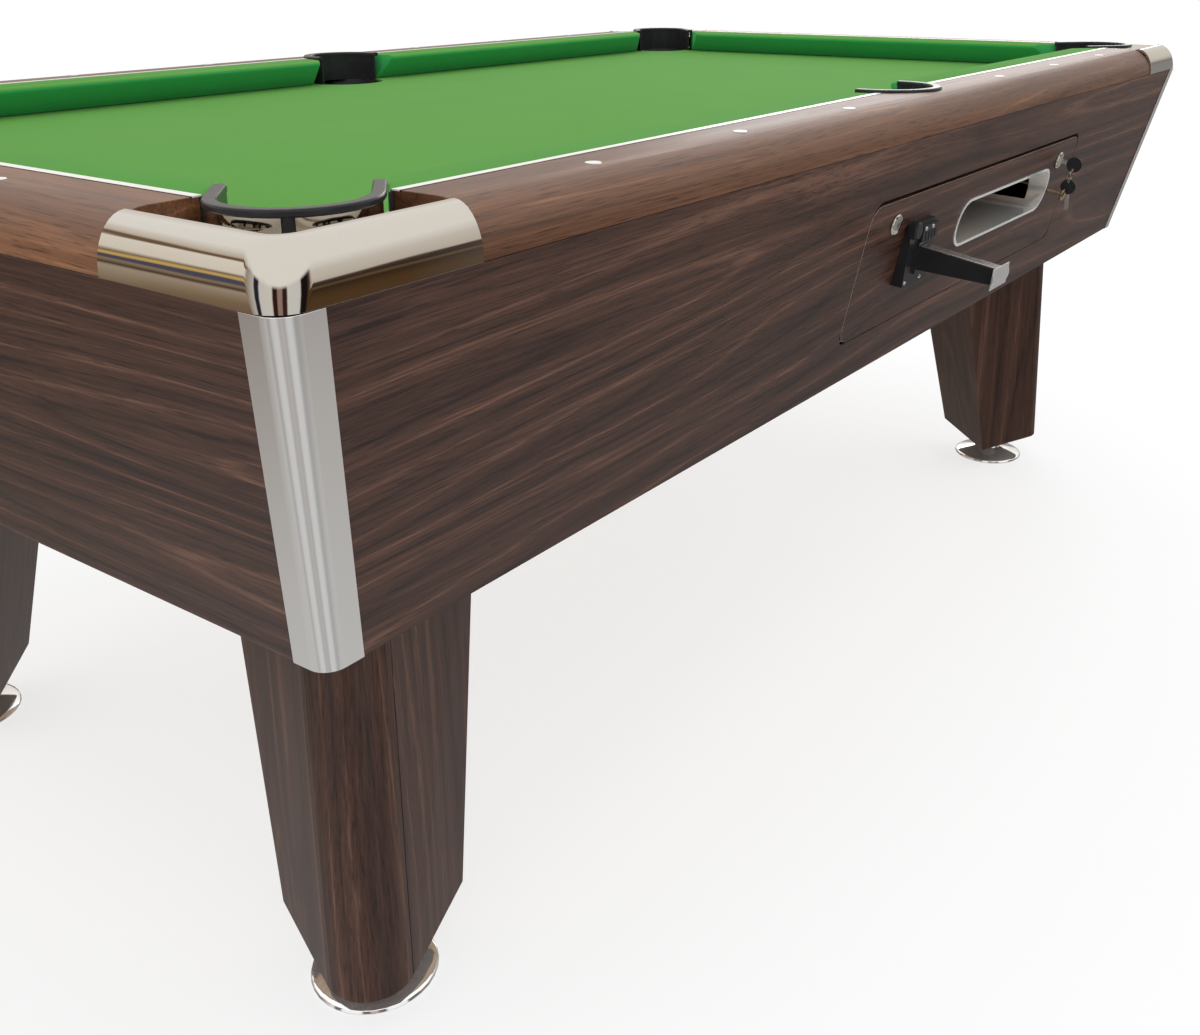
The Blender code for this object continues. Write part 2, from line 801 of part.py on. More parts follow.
def foot(name, sides, finish, parent):
    """A chromed levelling disc with a neck and a stud, turned about its own centre line."""
    profile = [
        (FOOT_RADIUS - FOOT_RIM, 0.0),
        (FOOT_RADIUS, FOOT_RIM),
        (FOOT_RADIUS - FOOT_RIM / 3, FOOT_RIM * 2),
        (FOOT_RADIUS - FOOT_RIM * 2, FOOT_CROWN),
        (FOOT_NECK + NECK_FLARE, FOOT_CROWN + FOOT_DISH),
        (FOOT_NECK + NECK_FLARE / 5, (FOOT_CROWN + FOOT_DISH + NECK_LOW) / 2),
        (FOOT_NECK, NECK_LOW),
        (FOOT_NECK, LEG_Z - GAP),
        (STUD_RADIUS, LEG_Z - GAP),
        (STUD_RADIUS, LEG_Z + STUD_LENGTH - SLIDE_FIT),
    ]
    return solid(name, turned(profile, steps=32), finish, parent, (sides[0] * FOOT_X, sides[1] * FOOT_Y, 0))


def legs_and_feet(wood, chrome, parent):
    for corner, sides in CORNERS.items():
        leg("leg_" + corner, sides, wood, parent)
        foot("levelling_foot_" + corner, sides, chrome, parent)


# Ball runs: two troughs under the pockets, a cross run and the trap that lets the balls into the tray


def trough(stations, half, wall, top):
    """A U-shaped trough through (place, floor height) stations along X, its walls level at the top."""

    def loop(place, z):
        outline = [
            (-half - wall, z - wall),
            (half + wall, z - wall),
            (half + wall, top),
            (half, top),
            (half, z),
            (-half, z),
            (-half, top),
            (-half - wall, top),
        ]
        return [Vector((place, y, height)) for y, height in outline]

    return loft([loop(*station) for station in stations])


def hang(run, name, places, y, parent):
    """Tabs on a run's walls that reach up to the slate, by which it is hung."""
    half = HANGER_LENGTH / 2
    inner, outer = RUN_HALF + LINER_STEP, RUN_HALF + RUN_WALL - LINER_STEP
    for count, x in enumerate(places):
        for low, high in ((-outer, -inner), (inner, outer)):
            tab = box(x - half, x + half, y + low, y + high, RUN_TOP - RUN_WALL, SLATE_LOW - GAP)
            fuse(run, tool(f"{name}_hanger_{count}_{low > 0}", tab, parent))


def side_run(name, sign, low_z, finish, parent):
    """A trough under one long side's pockets, in two lengths that fall from the ends to the trap."""
    end = LENGTH / 2 - RUN_END
    joint = TRAP_X + RUN_FLAT
    stations = [(-end, RUN_START_Z), (TRAP_X - RUN_FLAT, low_z), (joint, low_z)]
    y = sign * (WIDTH / 2 - RUN_INSET)
    run = solid(name, trough(stations, RUN_HALF, RUN_WALL, RUN_TOP), finish, parent, (0, y, 0))
    wall_y = y - sign * (RUN_HALF + RUN_WALL / 2)
    gate_low = low_z + GAP
    gate = box(
        TRAP_X - CROSS_HALF,
        TRAP_X + CROSS_HALF,
        wall_y - RUN_WALL,
        wall_y + RUN_WALL,
        gate_low,
        RUN_TOP + RUN_WALL,
    )
    cut(run, tool(name + "_gate", gate, parent))
    hang(run, name, (HANGER_FROM_END - end, TRAP_X - HANGER_FROM_TRAP), y, parent)
    stations = [(joint + GAP, low_z), (end, RUN_START_Z)]
    far = solid(name + "_end", trough(stations, RUN_HALF, RUN_WALL, RUN_TOP), finish, parent, (0, y, 0))
    hang(far, name + "_end", (TRAP_X + HANGER_FROM_TRAP, end - HANGER_FROM_END), y, parent)
    return run


def ball_runs(wood, steel, parent):
    front = side_run("front_ball_run", -1, FRONT_LOW_Z, wood, parent)
    side_run("back_ball_run", 1, BACK_LOW_Z, wood, parent)
    reach = WIDTH / 2 - RUN_INSET - RUN_HALF - RUN_WALL - GAP
    stations = [(-reach, FRONT_LOW_Z + CROSS_DROP), (reach, BACK_LOW_Z - CROSS_DROP)]
    cross = trough(stations, CROSS_HALF, RUN_WALL, BACK_LOW_Z + RUN_DEPTH / 2)
    solid("cross_ball_run", cross, wood, parent, (TRAP_X, 0, 0), (0, 0, math.pi / 2))
    half = TRAP_LENGTH / 2
    across = TRAP_WIDTH / 2
    y = -(WIDTH / 2 - RUN_INSET)
    room = box(
        TRAP_X - half - TRAP_CLEAR,
        TRAP_X + half + TRAP_CLEAR,
        y - across,
        y + across,
        FRONT_LOW_Z - RUN_WALL * 3,
        FRONT_LOW_Z + RUN_WALL,
    )
    cut(front, tool("trap_room", room, parent))
    pivot_x = TRAP_X - half + TRAP_THICK
    pivot_z = FRONT_LOW_Z - TRAP_THICK / 2
    flap_half = across - TRAP_CLEAR
    thick = TRAP_THICK / 2
    flap_shape = box(-TRAP_THICK, TRAP_LENGTH - TRAP_THICK, -flap_half, flap_half, -thick, thick)
    flap = solid("ball_trap", flap_shape, steel, parent, (pivot_x, y, pivot_z))
    pin_half = RUN_HALF
    pin = turned([(TRAP_PIN / 2, -pin_half), (TRAP_PIN / 2, pin_half)], steps=12, axis="Y")
    fuse(flap, tool("ball_trap_pin", pin, parent, (pivot_x, y, pivot_z)))
    hole_radius = TRAP_PIN / 2 + GAP
    hole = turned([(hole_radius, -pin_half - GAP), (hole_radius, pin_half + GAP)], steps=12, axis="Y")
    cut(front, tool("trap_pin_hole", hole, parent, (pivot_x, y, pivot_z)))


def cash_box(finish, parent):
    low = CABINET_Z + BASE_THICK + GAP
    y0 = -(WIDTH / 2 - RAIL_SETBACK - inset_at(low) - WALL) + CASH_SET_IN
    x0, x1 = MECH_X - CASH_WIDTH / 2, MECH_X + CASH_WIDTH / 2
    made = solid("cash_box", box(x0, x1, y0, y0 + CASH_DEPTH, low, low + CASH_HEIGHT), finish, parent)
    inside = box(
        x0 + CASH_WALL,
        x1 - CASH_WALL,
        y0 + CASH_WALL,
        y0 + CASH_DEPTH - CASH_WALL,
        low + CASH_WALL,
        low + CASH_HEIGHT * 2,
    )
    cut(made, tool("cash_box_inside", inside, parent))
    return made


# Coin door: a leaf in the front panel that tilts out on two pivot pins at its lower corners


def on_door(x, rise, depth):
    """A place on the door, by its rise from the lower edge and its depth in from the outer face."""
    return Vector((x, depth - PIVOT_DEPTH, rise - PIVOT_RISE))


def door_frame(parent):
    """An empty on the pivot axis, leaning with the panel: local Y goes in, local Z goes up the face."""
    outer_y = RAIL_SETBACK + inset_at(DOOR_Z) - WIDTH / 2
    lean = Matrix.Rotation(SLOPE, 3, "X")
    pivot = Vector((0, outer_y, DOOR_Z)) + lean @ Vector((0, PIVOT_DEPTH, PIVOT_RISE))
    return empty("door_pivot", parent, pivot, (SLOPE, 0, 0))


def face_outline(x0, x1, rise0, rise1, radius, low_radius=None):
    """A rounded outline on the door's face, in the door frame's own X and Z."""
    return rounded(x0, x1, rise0 - PIVOT_RISE, rise1 - PIVOT_RISE, radius, 6, low_radius)


def trim_to_face(shape, lean, depth, keep_outside):
    """Cuts a shape, drawn in a frame that leans from the door's, along a plane parallel to its face."""
    normal = Vector((0, math.cos(lean), math.sin(lean)))
    bmesh.ops.bisect_plane(
        shape,
        geom=shape.verts[:] + shape.edges[:] + shape.faces[:],
        plane_co=normal * depth,
        plane_no=normal,
        clear_outer=keep_outside,
        clear_inner=not keep_outside,
    )
    bmesh.ops.holes_fill(shape, edges=[edge for edge in shape.edges if edge.is_boundary])


def coin_door(front, finish, frame):
    deep = PANEL_THICK * 2
    opening = face_outline(
        DOOR_LEFT - DOOR_SIDE_GAP,
        DOOR_RIGHT + DOOR_SIDE_GAP,
        -DOOR_BOTTOM_GAP,
        DOOR_RISE + DOOR_TOP_GAP,
        DOOR_CORNER + DOOR_SIDE_GAP,
        DOOR_FOOT_CORNER,
    )
    cut(front, tool("door_opening", prism(opening, -deep, deep, "Y"), frame))
    leaf_outline = face_outline(DOOR_LEFT, DOOR_RIGHT, 0, DOOR_RISE, DOOR_CORNER)
    leaf_shape = prism(leaf_outline, -PIVOT_DEPTH, DOOR_THICK - PIVOT_DEPTH, "Y")
    door = solid("coin_door", leaf_shape, finish, frame)
    middle = (DOOR_LEFT + DOOR_RIGHT) / 2
    half = (DOOR_RIGHT - DOOR_LEFT) / 2
    return door, middle, half


def door_pivots(front, door, middle, half, frame):
    """Pins that stand out of the leaf's ends into holes in the panel, above the corner rounding."""
    for side, sign in (("left", -1), ("right", 1)):
        inner = middle + sign * (half - DOOR_CORNER * 1.5)
        outer = middle + sign * (half + PIVOT_LENGTH)
        pin = turned([(PIVOT_RADIUS, inner), (PIVOT_RADIUS, outer)], "X", 12)
        fuse(door, tool("door_pin_" + side, pin, frame))
        far = middle + sign * (half + PIVOT_LENGTH + SLIDE_FIT)
        hole = turned([(PIVOT_RADIUS + SLIDE_FIT, inner), (PIVOT_RADIUS + SLIDE_FIT, far)], "X", 12)
        cut(front, tool("door_pin_hole_" + side, hole, frame))


def ball_tray(door, finish, frame):
    """A pressed tray set into the window, falling gently outwards, with low walls where balls drop in."""
    middle = (WINDOW_LEFT + WINDOW_RIGHT) / 2
    half = (WINDOW_RIGHT - WINDOW_LEFT) / 2
    rise = WINDOW_HEIGHT / 2
    place = on_door(middle, WINDOW_RISE + rise, 0)
    turn = (TRAY_TILT - SLOPE, 0, 0)
    deep = PANEL_THICK * 2

    def outline(less):
        return rounded(-half + less, half - less, -rise + less, rise - less, WINDOW_CORNER - less)

    cut(door, tool("window_hole", prism(outline(0), -deep, deep, "Y"), frame, place, turn))
    tube = prism(outline(GAP), -deep, TRAY_DEPTH, "Y")
    trim_to_face(tube, SLOPE - TRAY_TILT, -GAP - TRAY_WALL / 2, False)
    tray = solid("ball_tray", tube, finish, frame, place, turn)
    rim = prism(outline(-TRAY_RIM), -GAP - TRAY_WALL, -GAP, "Y")
    fuse(tray, tool("tray_rim", rim, frame, place))
    inside = prism(outline(GAP + TRAY_WALL), -deep, TRAY_DEPTH - TRAY_WALL, "Y")
    cut(tray, tool("tray_inside", inside, frame, place, turn))
    upper = box(-half * 2, half * 2, DOOR_THICK + TRAY_WALL * 4, TRAY_DEPTH * 2, TRAY_LIP - rise, deep)
    cut(tray, tool("tray_upper", upper, frame, place, turn))
    return tray


def cam_lock(name, x, door, cam_side, chrome, frame):
    """A cam lock: a flanged barrel through the door and a plug that turns a cam behind the panel."""
    place = on_door(x, LOCK_RISE, 0)
    cam_depth = PANEL_THICK + CAM_BEHIND
    hole = turned([(BARREL_RADIUS + GAP, -PANEL_THICK), (BARREL_RADIUS + GAP, PANEL_THICK * 2)], "Y", 20)
    cut(door, tool(name + "_hole", hole, frame, place))
    barrel_profile = [
        (PLUG_RADIUS + GAP, -LOCK_FACE_PROUD),
        (LOCK_FACE_RADIUS - LOCK_FACE_EDGE, -LOCK_FACE_PROUD),
        (LOCK_FACE_RADIUS, -LOCK_FACE_PROUD + LOCK_FACE_EDGE),
        (LOCK_FACE_RADIUS, -GAP),
        (BARREL_RADIUS, -GAP),
        (BARREL_RADIUS, cam_depth - GAP),
        (PLUG_RADIUS + GAP, cam_depth - GAP),
    ]
    solid(name + "_barrel", turned(barrel_profile, "Y", 24, ring=True), chrome, frame, place)
    plug_profile = [(PLUG_RADIUS, PLUG_RECESS - LOCK_FACE_PROUD), (PLUG_RADIUS, cam_depth + CAM_THICK)]
    plug = solid(name + "_plug", turned(plug_profile, "Y", 20), chrome, frame, place)
    half = CAM_WIDTH / 2
    tip = cam_side * (CAM_LENGTH - half)
    bend = (90, -90) if cam_side > 0 else (270, 90)
    root = (90, 270) if cam_side > 0 else (-90, 90)
    cam_outline = arc((tip, 0), half, bend[0], bend[1], 8) + arc((0, 0), half, root[1], root[0], 8)
    fuse(plug, tool(name + "_cam", prism(cam_outline, cam_depth, cam_depth + CAM_THICK, "Y"), frame, place))
    half_way = KEYWAY_WIDTH / 2
    half_high = KEYWAY_HEIGHT / 2
    keyway = box(-half_way, half_way, -LOCK_FACE_PROUD * 2, KEY_REACH + GAP, -half_high, half_high)
    cut(plug, tool(name + "_keyway", keyway, frame, place))
    return place


def key_shape(blade_from, blade_to, bow_y):
    """A flat key in its own Y and Z: a blade along Y and a round bow, as one outline."""
    half = KEY_HEIGHT / 2
    joint = math.degrees(math.asin(half / BOW_RADIUS))
    head = arc((bow_y, 0), BOW_RADIUS, joint, 360 - joint, 24)
    outline = [(blade_to - half, half), (blade_to, 0), (blade_to - half, -half), *head[::-1]]
    return prism(outline, -KEY_THICK / 2, KEY_THICK / 2, "X")


def bow_grip(y, z):
    """The thicker moulded grip round a key's bow."""
    radius = BOW_RADIUS + GAP
    grip = turned([(radius, -BOW_THICK / 2), (radius, BOW_THICK / 2)], "X", 24)
    bmesh.ops.translate(grip, verts=grip.verts, vec=(0, y, z))
    return grip


def keys(place, finish, chrome, frame):
    """The key in the right lock, and a second one hung from it on a ring."""
    bow_y = -LOCK_FACE_PROUD - KEY_STEM - BOW_RADIUS
    key = solid("lock_key", key_shape(bow_y, KEY_REACH, bow_y), finish, frame, place)
    fuse(key, tool("lock_key_grip", bow_grip(bow_y, 0), frame, place))
    reach = BOW_THICK
    eye_profile = [(BOW_HOLE, -reach), (BOW_HOLE, reach)]
    eye = place + Vector((0, bow_y, -BOW_HOLE_DROP))
    cut(key, tool("lock_key_eye", turned(eye_profile, "X", 12), frame, eye))
    ring_centre = eye + Vector((0, 0, -RING_RADIUS - EYE_PLAY))
    ring_profile = arc((RING_RADIUS, 0), RING_WIRE, 0, 315, 7)
    ring = turned(ring_profile, "Y", 28, ring=True)
    solid("key_ring", ring, chrome, frame, ring_centre)
    hang = ring_centre + Vector((0, 0, -RING_RADIUS))
    plumb = (-SLOPE, 0, 0)
    spare = solid("spare_key", spare_key_shape(), finish, frame, hang, plumb)
    fuse(spare, tool("spare_key_grip", bow_grip(0, -BOW_HOLE_DROP - EYE_PLAY), frame, hang, plumb))
    spare_eye = turned(eye_profile, "X", 12)
    bmesh.ops.translate(spare_eye, verts=spare_eye.verts, vec=(0, 0, -EYE_PLAY))
    cut(spare, tool("spare_key_eye", spare_eye, frame, hang, plumb))


def spare_key_shape():
    """The hanging key, bow up, with the ring's wire at its own origin and its blade straight down."""
    half = KEY_HEIGHT / 2
    bow = -BOW_HOLE_DROP - EYE_PLAY
    tip = bow - BOW_RADIUS - SPARE_BLADE
    joint = math.degrees(math.asin(half / BOW_RADIUS))
    head = arc((0, bow), BOW_RADIUS, 270 + joint, 270 - joint + 360, 24)
    outline = [(0, tip), (half, tip + half), *head, (-half, tip + half)]
    return prism(outline, -KEY_THICK / 2, KEY_THICK / 2, "X")


def pull_knob(door, finish, frame):
    place = on_door(KNOB_X, KNOB_RISE, 0)
    bore = turned([(KNOB_STEM + GAP, -PANEL_THICK), (KNOB_STEM + GAP, PANEL_THICK * 2)], "Y", 16)
    cut(door, tool("knob_hole", bore, frame, place))
    collar = DOOR_THICK + KNOB_TRAVEL + SLIDE_FIT
    profile = [
        (KNOB_RADIUS * 0.6, -KNOB_REACH - KNOB_THICK),
        (KNOB_RADIUS, -KNOB_REACH - KNOB_THICK * 0.7),
        (KNOB_RADIUS, -KNOB_REACH - KNOB_THICK * 0.3),
        (KNOB_RADIUS * 0.7, -KNOB_REACH),
        (KNOB_STEM, -KNOB_REACH),
        (KNOB_STEM, collar),
        (KNOB_COLLAR, collar),
        (KNOB_COLLAR, collar + KNOB_STEM),
    ]
    return solid("release_knob", turned(profile, "Y", 20), finish, frame, place)


# Coin mechanism: a housing on the door, and a slide that is pushed in with the coins


def coin_mechanism(door, black, steel, chrome, frame):
    place = on_door(MECH_X, MECH_RISE, 0)
    turn = (MECH_TILT - SLOPE, 0, 0)
    guide = GUIDE_WALL + SLIDE_FIT
    guide_x = SLIDE_WIDTH / 2 + guide
    guide_z = SLIDE_HEIGHT / 2 + guide
    outline = rounded(-MECH_LEFT, MECH_RIGHT, -MECH_LOW, MECH_HIGH, MECH_CORNER, 4)
    plate = prism(outline, -MECH_PROUD, DOOR_THICK, "Y")
    trim_to_face(plate, SLOPE - MECH_TILT, -GAP, True)
    housing = solid("coin_housing", plate, black, frame, place, turn)
    boss_profile = [
        (BOSS_RADIUS * 0.8, -MECH_PROUD - BOSS_PROUD),
        (BOSS_RADIUS, -MECH_PROUD - BOSS_PROUD * 0.75),
        (BOSS_RADIUS, -MECH_PROUD * 0.75),
    ]
    boss = turned(boss_profile, "Y", 24)
    bmesh.ops.translate(boss, verts=boss.verts, vec=(BOSS_X, 0, BOSS_Z))
    fuse(housing, tool("coin_boss", boss, frame, place, turn))
    fin_right = MECH_RIGHT - MECH_CORNER
    fin_high = MECH_HIGH - MECH_CORNER
    fin_front = -MECH_PROUD - FIN_BLOCK_PROUD
    fins = box(FIN_BLOCK_LEFT, fin_right, fin_front, -MECH_PROUD * 0.75, FIN_BLOCK_LOW, fin_high)
    fuse(housing, tool("coin_fins", fins, frame, place, turn))
    pitch = (fin_right - FIN_BLOCK_LEFT) / (FIN_COUNT + 1)
    for count in range(FIN_COUNT):
        x = FIN_BLOCK_LEFT + pitch * (count + 1)
        slot = box(
            x - FIN_SLOT / 2,
            x + FIN_SLOT / 2,
            fin_front * 2,
            -MECH_PROUD - FIN_SLOT / 2,
            FIN_BLOCK_LOW - FIN_SLOT,
            fin_high - MECH_CORNER * 2,
        )
        cut(housing, tool(f"coin_fin_slot_{count}", slot, frame, place, turn))
    sleeve = box(-guide_x, guide_x, -MECH_PROUD * 1.3, GUIDE_DEPTH, -guide_z, guide_z)
    fuse(housing, tool("coin_guide", sleeve, frame, place, turn))
    bore_x = SLIDE_WIDTH / 2 + SLIDE_FIT
    bore_z = SLIDE_HEIGHT / 2 + SLIDE_FIT
    bore = box(-bore_x, bore_x, -MECH_PROUD * 3, GUIDE_DEPTH * 2, -bore_z, bore_z)
    cut(housing, tool("coin_bore", bore, frame, place, turn))
    room_x = guide_x + GAP * 3
    room_z = guide_z + GAP * 3
    room = box(-room_x, room_x, -PANEL_THICK, GUIDE_DEPTH, -room_z, room_z)
    cut(door, tool("guide_room", room, frame, place, turn))
    coin_slide(black, steel, chrome, frame, place, turn)


def coin_slide(black, steel, chrome, frame, place, turn):
    """A bar that tapers to its outer end, a steel coin strip let into its top, and a bowed push plate."""

    def loop(y, low, high):
        half = SLIDE_WIDTH / 2
        return [Vector((x, y, z)) for x, z in ((-half, low), (half, low), (half, high), (-half, high))]

    inner, tip = SLIDE_HEIGHT / 2, SLIDE_TIP_HEIGHT / 2
    top_drop = STRIP_THICK + GAP
    bar = loft(
        [
            loop(SLIDE_IN, -inner, inner - top_drop),
            loop(-MECH_PROUD, -inner, inner - top_drop),
            loop(-SLIDE_OUT, -tip, tip - top_drop),
        ]
    )
    solid("coin_slide", bar, black, frame, place, turn)
    half = SLIDE_WIDTH / 2 - GAP * 3
    strip_from = -SLIDE_OUT + GAP
    strip = loft(
        [
            [
                Vector((x, y, z + rise))
                for x, rise in ((-half, -STRIP_THICK), (half, -STRIP_THICK), (half, 0), (-half, 0))
            ]
            for y, z in ((SLIDE_IN, inner), (-MECH_PROUD, inner), (strip_from, tip))
        ]
    )
    solid("coin_strip", strip, steel, frame, place, turn)
    radius = (HANDLE_HEIGHT / 2) ** 2 / (2 * HANDLE_BOW) + HANDLE_BOW / 2
    sweep = math.degrees(math.asin(HANDLE_HEIGHT / 2 / radius))
    centre_y = -SLIDE_OUT - GAP - HANDLE_THICK + radius
    outer = arc((centre_y, 0), radius, 180 - sweep, 180 + sweep, 8)
    flat = -SLIDE_OUT - GAP
    face = [(min(y, flat - HANDLE_THICK / 3), z) for y, z in outer]
    section = [*face, (flat, -HANDLE_HEIGHT / 2), (flat, HANDLE_HEIGHT / 2)]
    plate = prism(section, -HANDLE_WIDTH / 2, HANDLE_WIDTH / 2, "X")
    solid("push_plate", plate, chrome, frame, place, turn)


def centre_footprint(table):
    """Moves the table along Y so that the middle of its footprint is at the origin."""
    bpy.context.view_layer.update()
    reach = []
    for made in bpy.data.objects:
        if made.type == "MESH" and not made.hide_render:
            reach.extend((made.matrix_world @ vertex.co).y for vertex in made.data.vertices)
    table.location.y -= (min(reach) + max(reach)) / 2


def build_table():
    clear_scene()
    walnut = material("walnut laminate", (0.085, 0.045, 0.032), 0.42)
    chrome = material("chrome", (0.78, 0.77, 0.75), 0.08, 1.0)
    satin = material("satin aluminium", (0.62, 0.62, 0.61), 0.32, 1.0)
    green = material("green cloth", (0.12, 0.38, 0.075), 0.92)
    stone = material("slate", (0.10, 0.105, 0.11), 0.75)
    black = material("black plastic", (0.012, 0.012, 0.014), 0.45)
    steel = material("steel", (0.50, 0.50, 0.50), 0.30, 1.0)
    pine = material("pine", (0.48, 0.33, 0.19), 0.65)
    brass = material("dark brass", (0.34, 0.27, 0.17), 0.30, 1.0)

    table = empty("table")
    front = cabinet(walnut, satin, table)
    bed(stone, green, table)
    rails_and_cushions(walnut, green, table)
    caps_and_pockets(chrome, black, table)
    legs_and_feet(walnut, chrome, table)
    ball_runs(pine, steel, table)
    cash_box(steel, table)

    frame = door_frame(table)
    door, middle, half = coin_door(front, walnut, frame)
    door_pivots(front, door, middle, half, frame)
    ball_tray(door, chrome, frame)
    cam_lock("left_lock", LOCK_LEFT_X, door, 1, chrome, frame)
    key_place = cam_lock("right_lock", LOCK_RIGHT_X, door, 1, chrome, frame)
    keys(key_place, black, chrome, frame)
    pull_knob(door, brass, frame)
    coin_mechanism(door, black, steel, chrome, frame)
    centre_footprint(table)


build_table()
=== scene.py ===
"""The looks of a coin-operated billiard table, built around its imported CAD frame, in metres."""

import json
import math

import bmesh
import bpy
from mathutils import Matrix, Vector


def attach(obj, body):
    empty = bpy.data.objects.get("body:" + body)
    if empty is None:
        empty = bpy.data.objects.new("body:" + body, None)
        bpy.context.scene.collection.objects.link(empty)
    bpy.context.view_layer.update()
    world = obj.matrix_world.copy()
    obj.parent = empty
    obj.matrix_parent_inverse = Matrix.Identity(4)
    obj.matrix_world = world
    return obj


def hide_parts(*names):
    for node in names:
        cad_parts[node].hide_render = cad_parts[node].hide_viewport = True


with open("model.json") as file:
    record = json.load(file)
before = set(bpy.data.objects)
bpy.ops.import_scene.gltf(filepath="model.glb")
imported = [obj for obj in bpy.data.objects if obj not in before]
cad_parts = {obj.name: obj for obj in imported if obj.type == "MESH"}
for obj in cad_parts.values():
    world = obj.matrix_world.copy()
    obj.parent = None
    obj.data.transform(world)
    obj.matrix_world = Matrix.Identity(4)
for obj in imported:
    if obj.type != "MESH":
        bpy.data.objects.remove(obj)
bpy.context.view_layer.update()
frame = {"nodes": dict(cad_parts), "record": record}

# Camera. It stands off the near left corner a little above the rail, where the photograph was
# taken, with the lens shifted so that the table falls in the frame as it does there.
lens = bpy.data.cameras.new("camera")
lens.sensor_width = 36
lens.lens = 37.665
lens.shift_x = -0.01266
lens.shift_y = -0.1097
camera = bpy.data.objects.new("camera", lens)
camera.location = (-1.5281, -1.1457, 0.9642)
camera.rotation_euler = (1.2424, 0.005, -0.9419)
bpy.context.scene.collection.objects.link(camera)
bpy.context.scene.camera = camera
bpy.context.scene.view_settings.view_transform = "Standard"

# Studio. A wide pale floor under a white dome that lights nothing, and for light a room, bright
# overhead and brown at eye level, with shelves, windows and soft boxes. Mirrors show the room, and
# not the floor or the dome.
FLOOR_REACH = 60.0
DOME_REACH = 58.0
DOME_FOOT = -0.01
FLOOR_COLOUR = (0.925, 0.935, 0.950)
FLOOR_WHITE = 0.72
ROOM_TONES = (
    (0.00, (0.620, 0.620, 0.630)),
    (0.14, (0.600, 0.595, 0.590)),
    (0.25, (0.420, 0.390, 0.370)),
    (0.32, (0.130, 0.082, 0.048)),
    (0.42, (0.125, 0.068, 0.030)),
    (0.480, (0.060, 0.034, 0.020)),
    (0.500, (0.200, 0.130, 0.075)),
    (0.512, (0.050, 0.032, 0.026)),
    (0.540, (0.110, 0.075, 0.055)),
    (0.552, (0.820, 0.760, 0.690)),
    (0.66, (0.950, 0.910, 0.860)),
    (0.78, (1.250, 1.250, 1.250)),
)
SHELF_TONES = (
    (0.00, (0.620, 0.620, 0.630)),
    (0.14, (0.600, 0.595, 0.590)),
    (0.25, (0.420, 0.390, 0.370)),
    (0.33, (0.130, 0.082, 0.048)),
    (0.40, (0.330, 0.235, 0.150)),
    (0.455, (0.560, 0.470, 0.380)),
    (0.470, (0.090, 0.055, 0.036)),
    (0.500, (0.420, 0.310, 0.210)),
    (0.520, (0.110, 0.110, 0.170)),
    (0.545, (0.120, 0.120, 0.200)),
    (0.555, (0.900, 0.640, 0.200)),
    (0.572, (0.800, 0.560, 0.200)),
    (0.580, (0.220, 0.140, 0.080)),
    (0.600, (1.100, 1.040, 0.960)),
    (0.680, (1.200, 1.140, 1.060)),
    (0.695, (0.260, 0.170, 0.110)),
    (0.715, (0.240, 0.150, 0.095)),
    (0.730, (0.800, 0.700, 0.570)),
    (0.80, (1.250, 1.250, 1.250)),
)
PANE_TONES = (
    (0.00, (0.125, 0.068, 0.030)),
    (0.06, (0.125, 0.068, 0.030)),
    (0.09, (0.015, 0.012, 0.012)),
    (0.17, (0.015, 0.012, 0.012)),
    (0.19, (0.950, 0.970, 1.000)),
    (0.36, (1.000, 1.000, 1.000)),
    (0.38, (0.060, 0.025, 0.018)),
    (0.43, (0.060, 0.025, 0.018)),
    (0.45, (0.450, 0.330, 0.280)),
    (0.50, (0.450, 0.330, 0.280)),
    (0.52, (0.050, 0.020, 0.015)),
    (0.57, (0.050, 0.020, 0.015)),
    (0.59, (1.000, 1.000, 0.980)),
    (0.76, (0.950, 0.950, 0.950)),
    (0.78, (0.030, 0.030, 0.050)),
    (0.83, (0.030, 0.030, 0.050)),
    (0.85, (0.800, 0.780, 0.750)),
    (1.00, (0.330, 0.235, 0.150)),
)
FAR_WALL = (0.340, 0.335, 0.330)
PANES_FACE = (-0.764, -0.603, 0.0)
SHELVES_FACE = (-0.603, 0.764, 0.0)
ROOM_BREAKS = 0.16
ROOM_GRAIN = 2.6
SHELF_FADE = (0.70, 0.86)
PANE_FADE = (0.04, 0.16)
PANE_TOP_FADE = (0.52, 0.44)
PANE_FOOT_FADE = (-0.42, -0.24)
PANE_FOOT_SHARE = 0.28
FAR_FADE = (0.68, 0.90)
FAR_TOP_FADE = (0.12, 0.02)
SOFT_BOXES = (
    ("overhead", (-0.6, -0.9, 3.4), (0.0, 0.0, 0.7), (3.0, 1.6), 8, False),
    ("far_window", (4.6, 1.4, 2.1), (0.2, 0.0, 0.8), (2.6, 1.8), 40, True),
    ("near_fill", (-3.2, -3.0, 1.9), (-0.4, -0.2, 0.5), (2.4, 1.8), 14, False),
)


def new_finish(name):
    """A material with its node tree, and the tree's shader."""
    made = bpy.data.materials.new(name)
    made.use_nodes = True
    return made, made.node_tree, made.node_tree.nodes["Principled BSDF"]


def add_node(tree, kind, **settings):
    """A node with its plain settings and, by socket name, the values of its inputs."""
    made = tree.nodes.new(kind)
    for key, value in settings.items():
        if key in made.inputs:
            made.inputs[key].default_value = value
        else:
            setattr(made, key, value)
    return made


def maths(tree, operation, *values):
    """The result of a sum of outputs and plain numbers."""
    step = add_node(tree, "ShaderNodeMath", operation=operation)
    for socket, value in zip(step.inputs, values):
        if isinstance(value, (int, float)):
            socket.default_value = value
        else:
            tree.links.new(value, socket)
    return step.outputs[0]


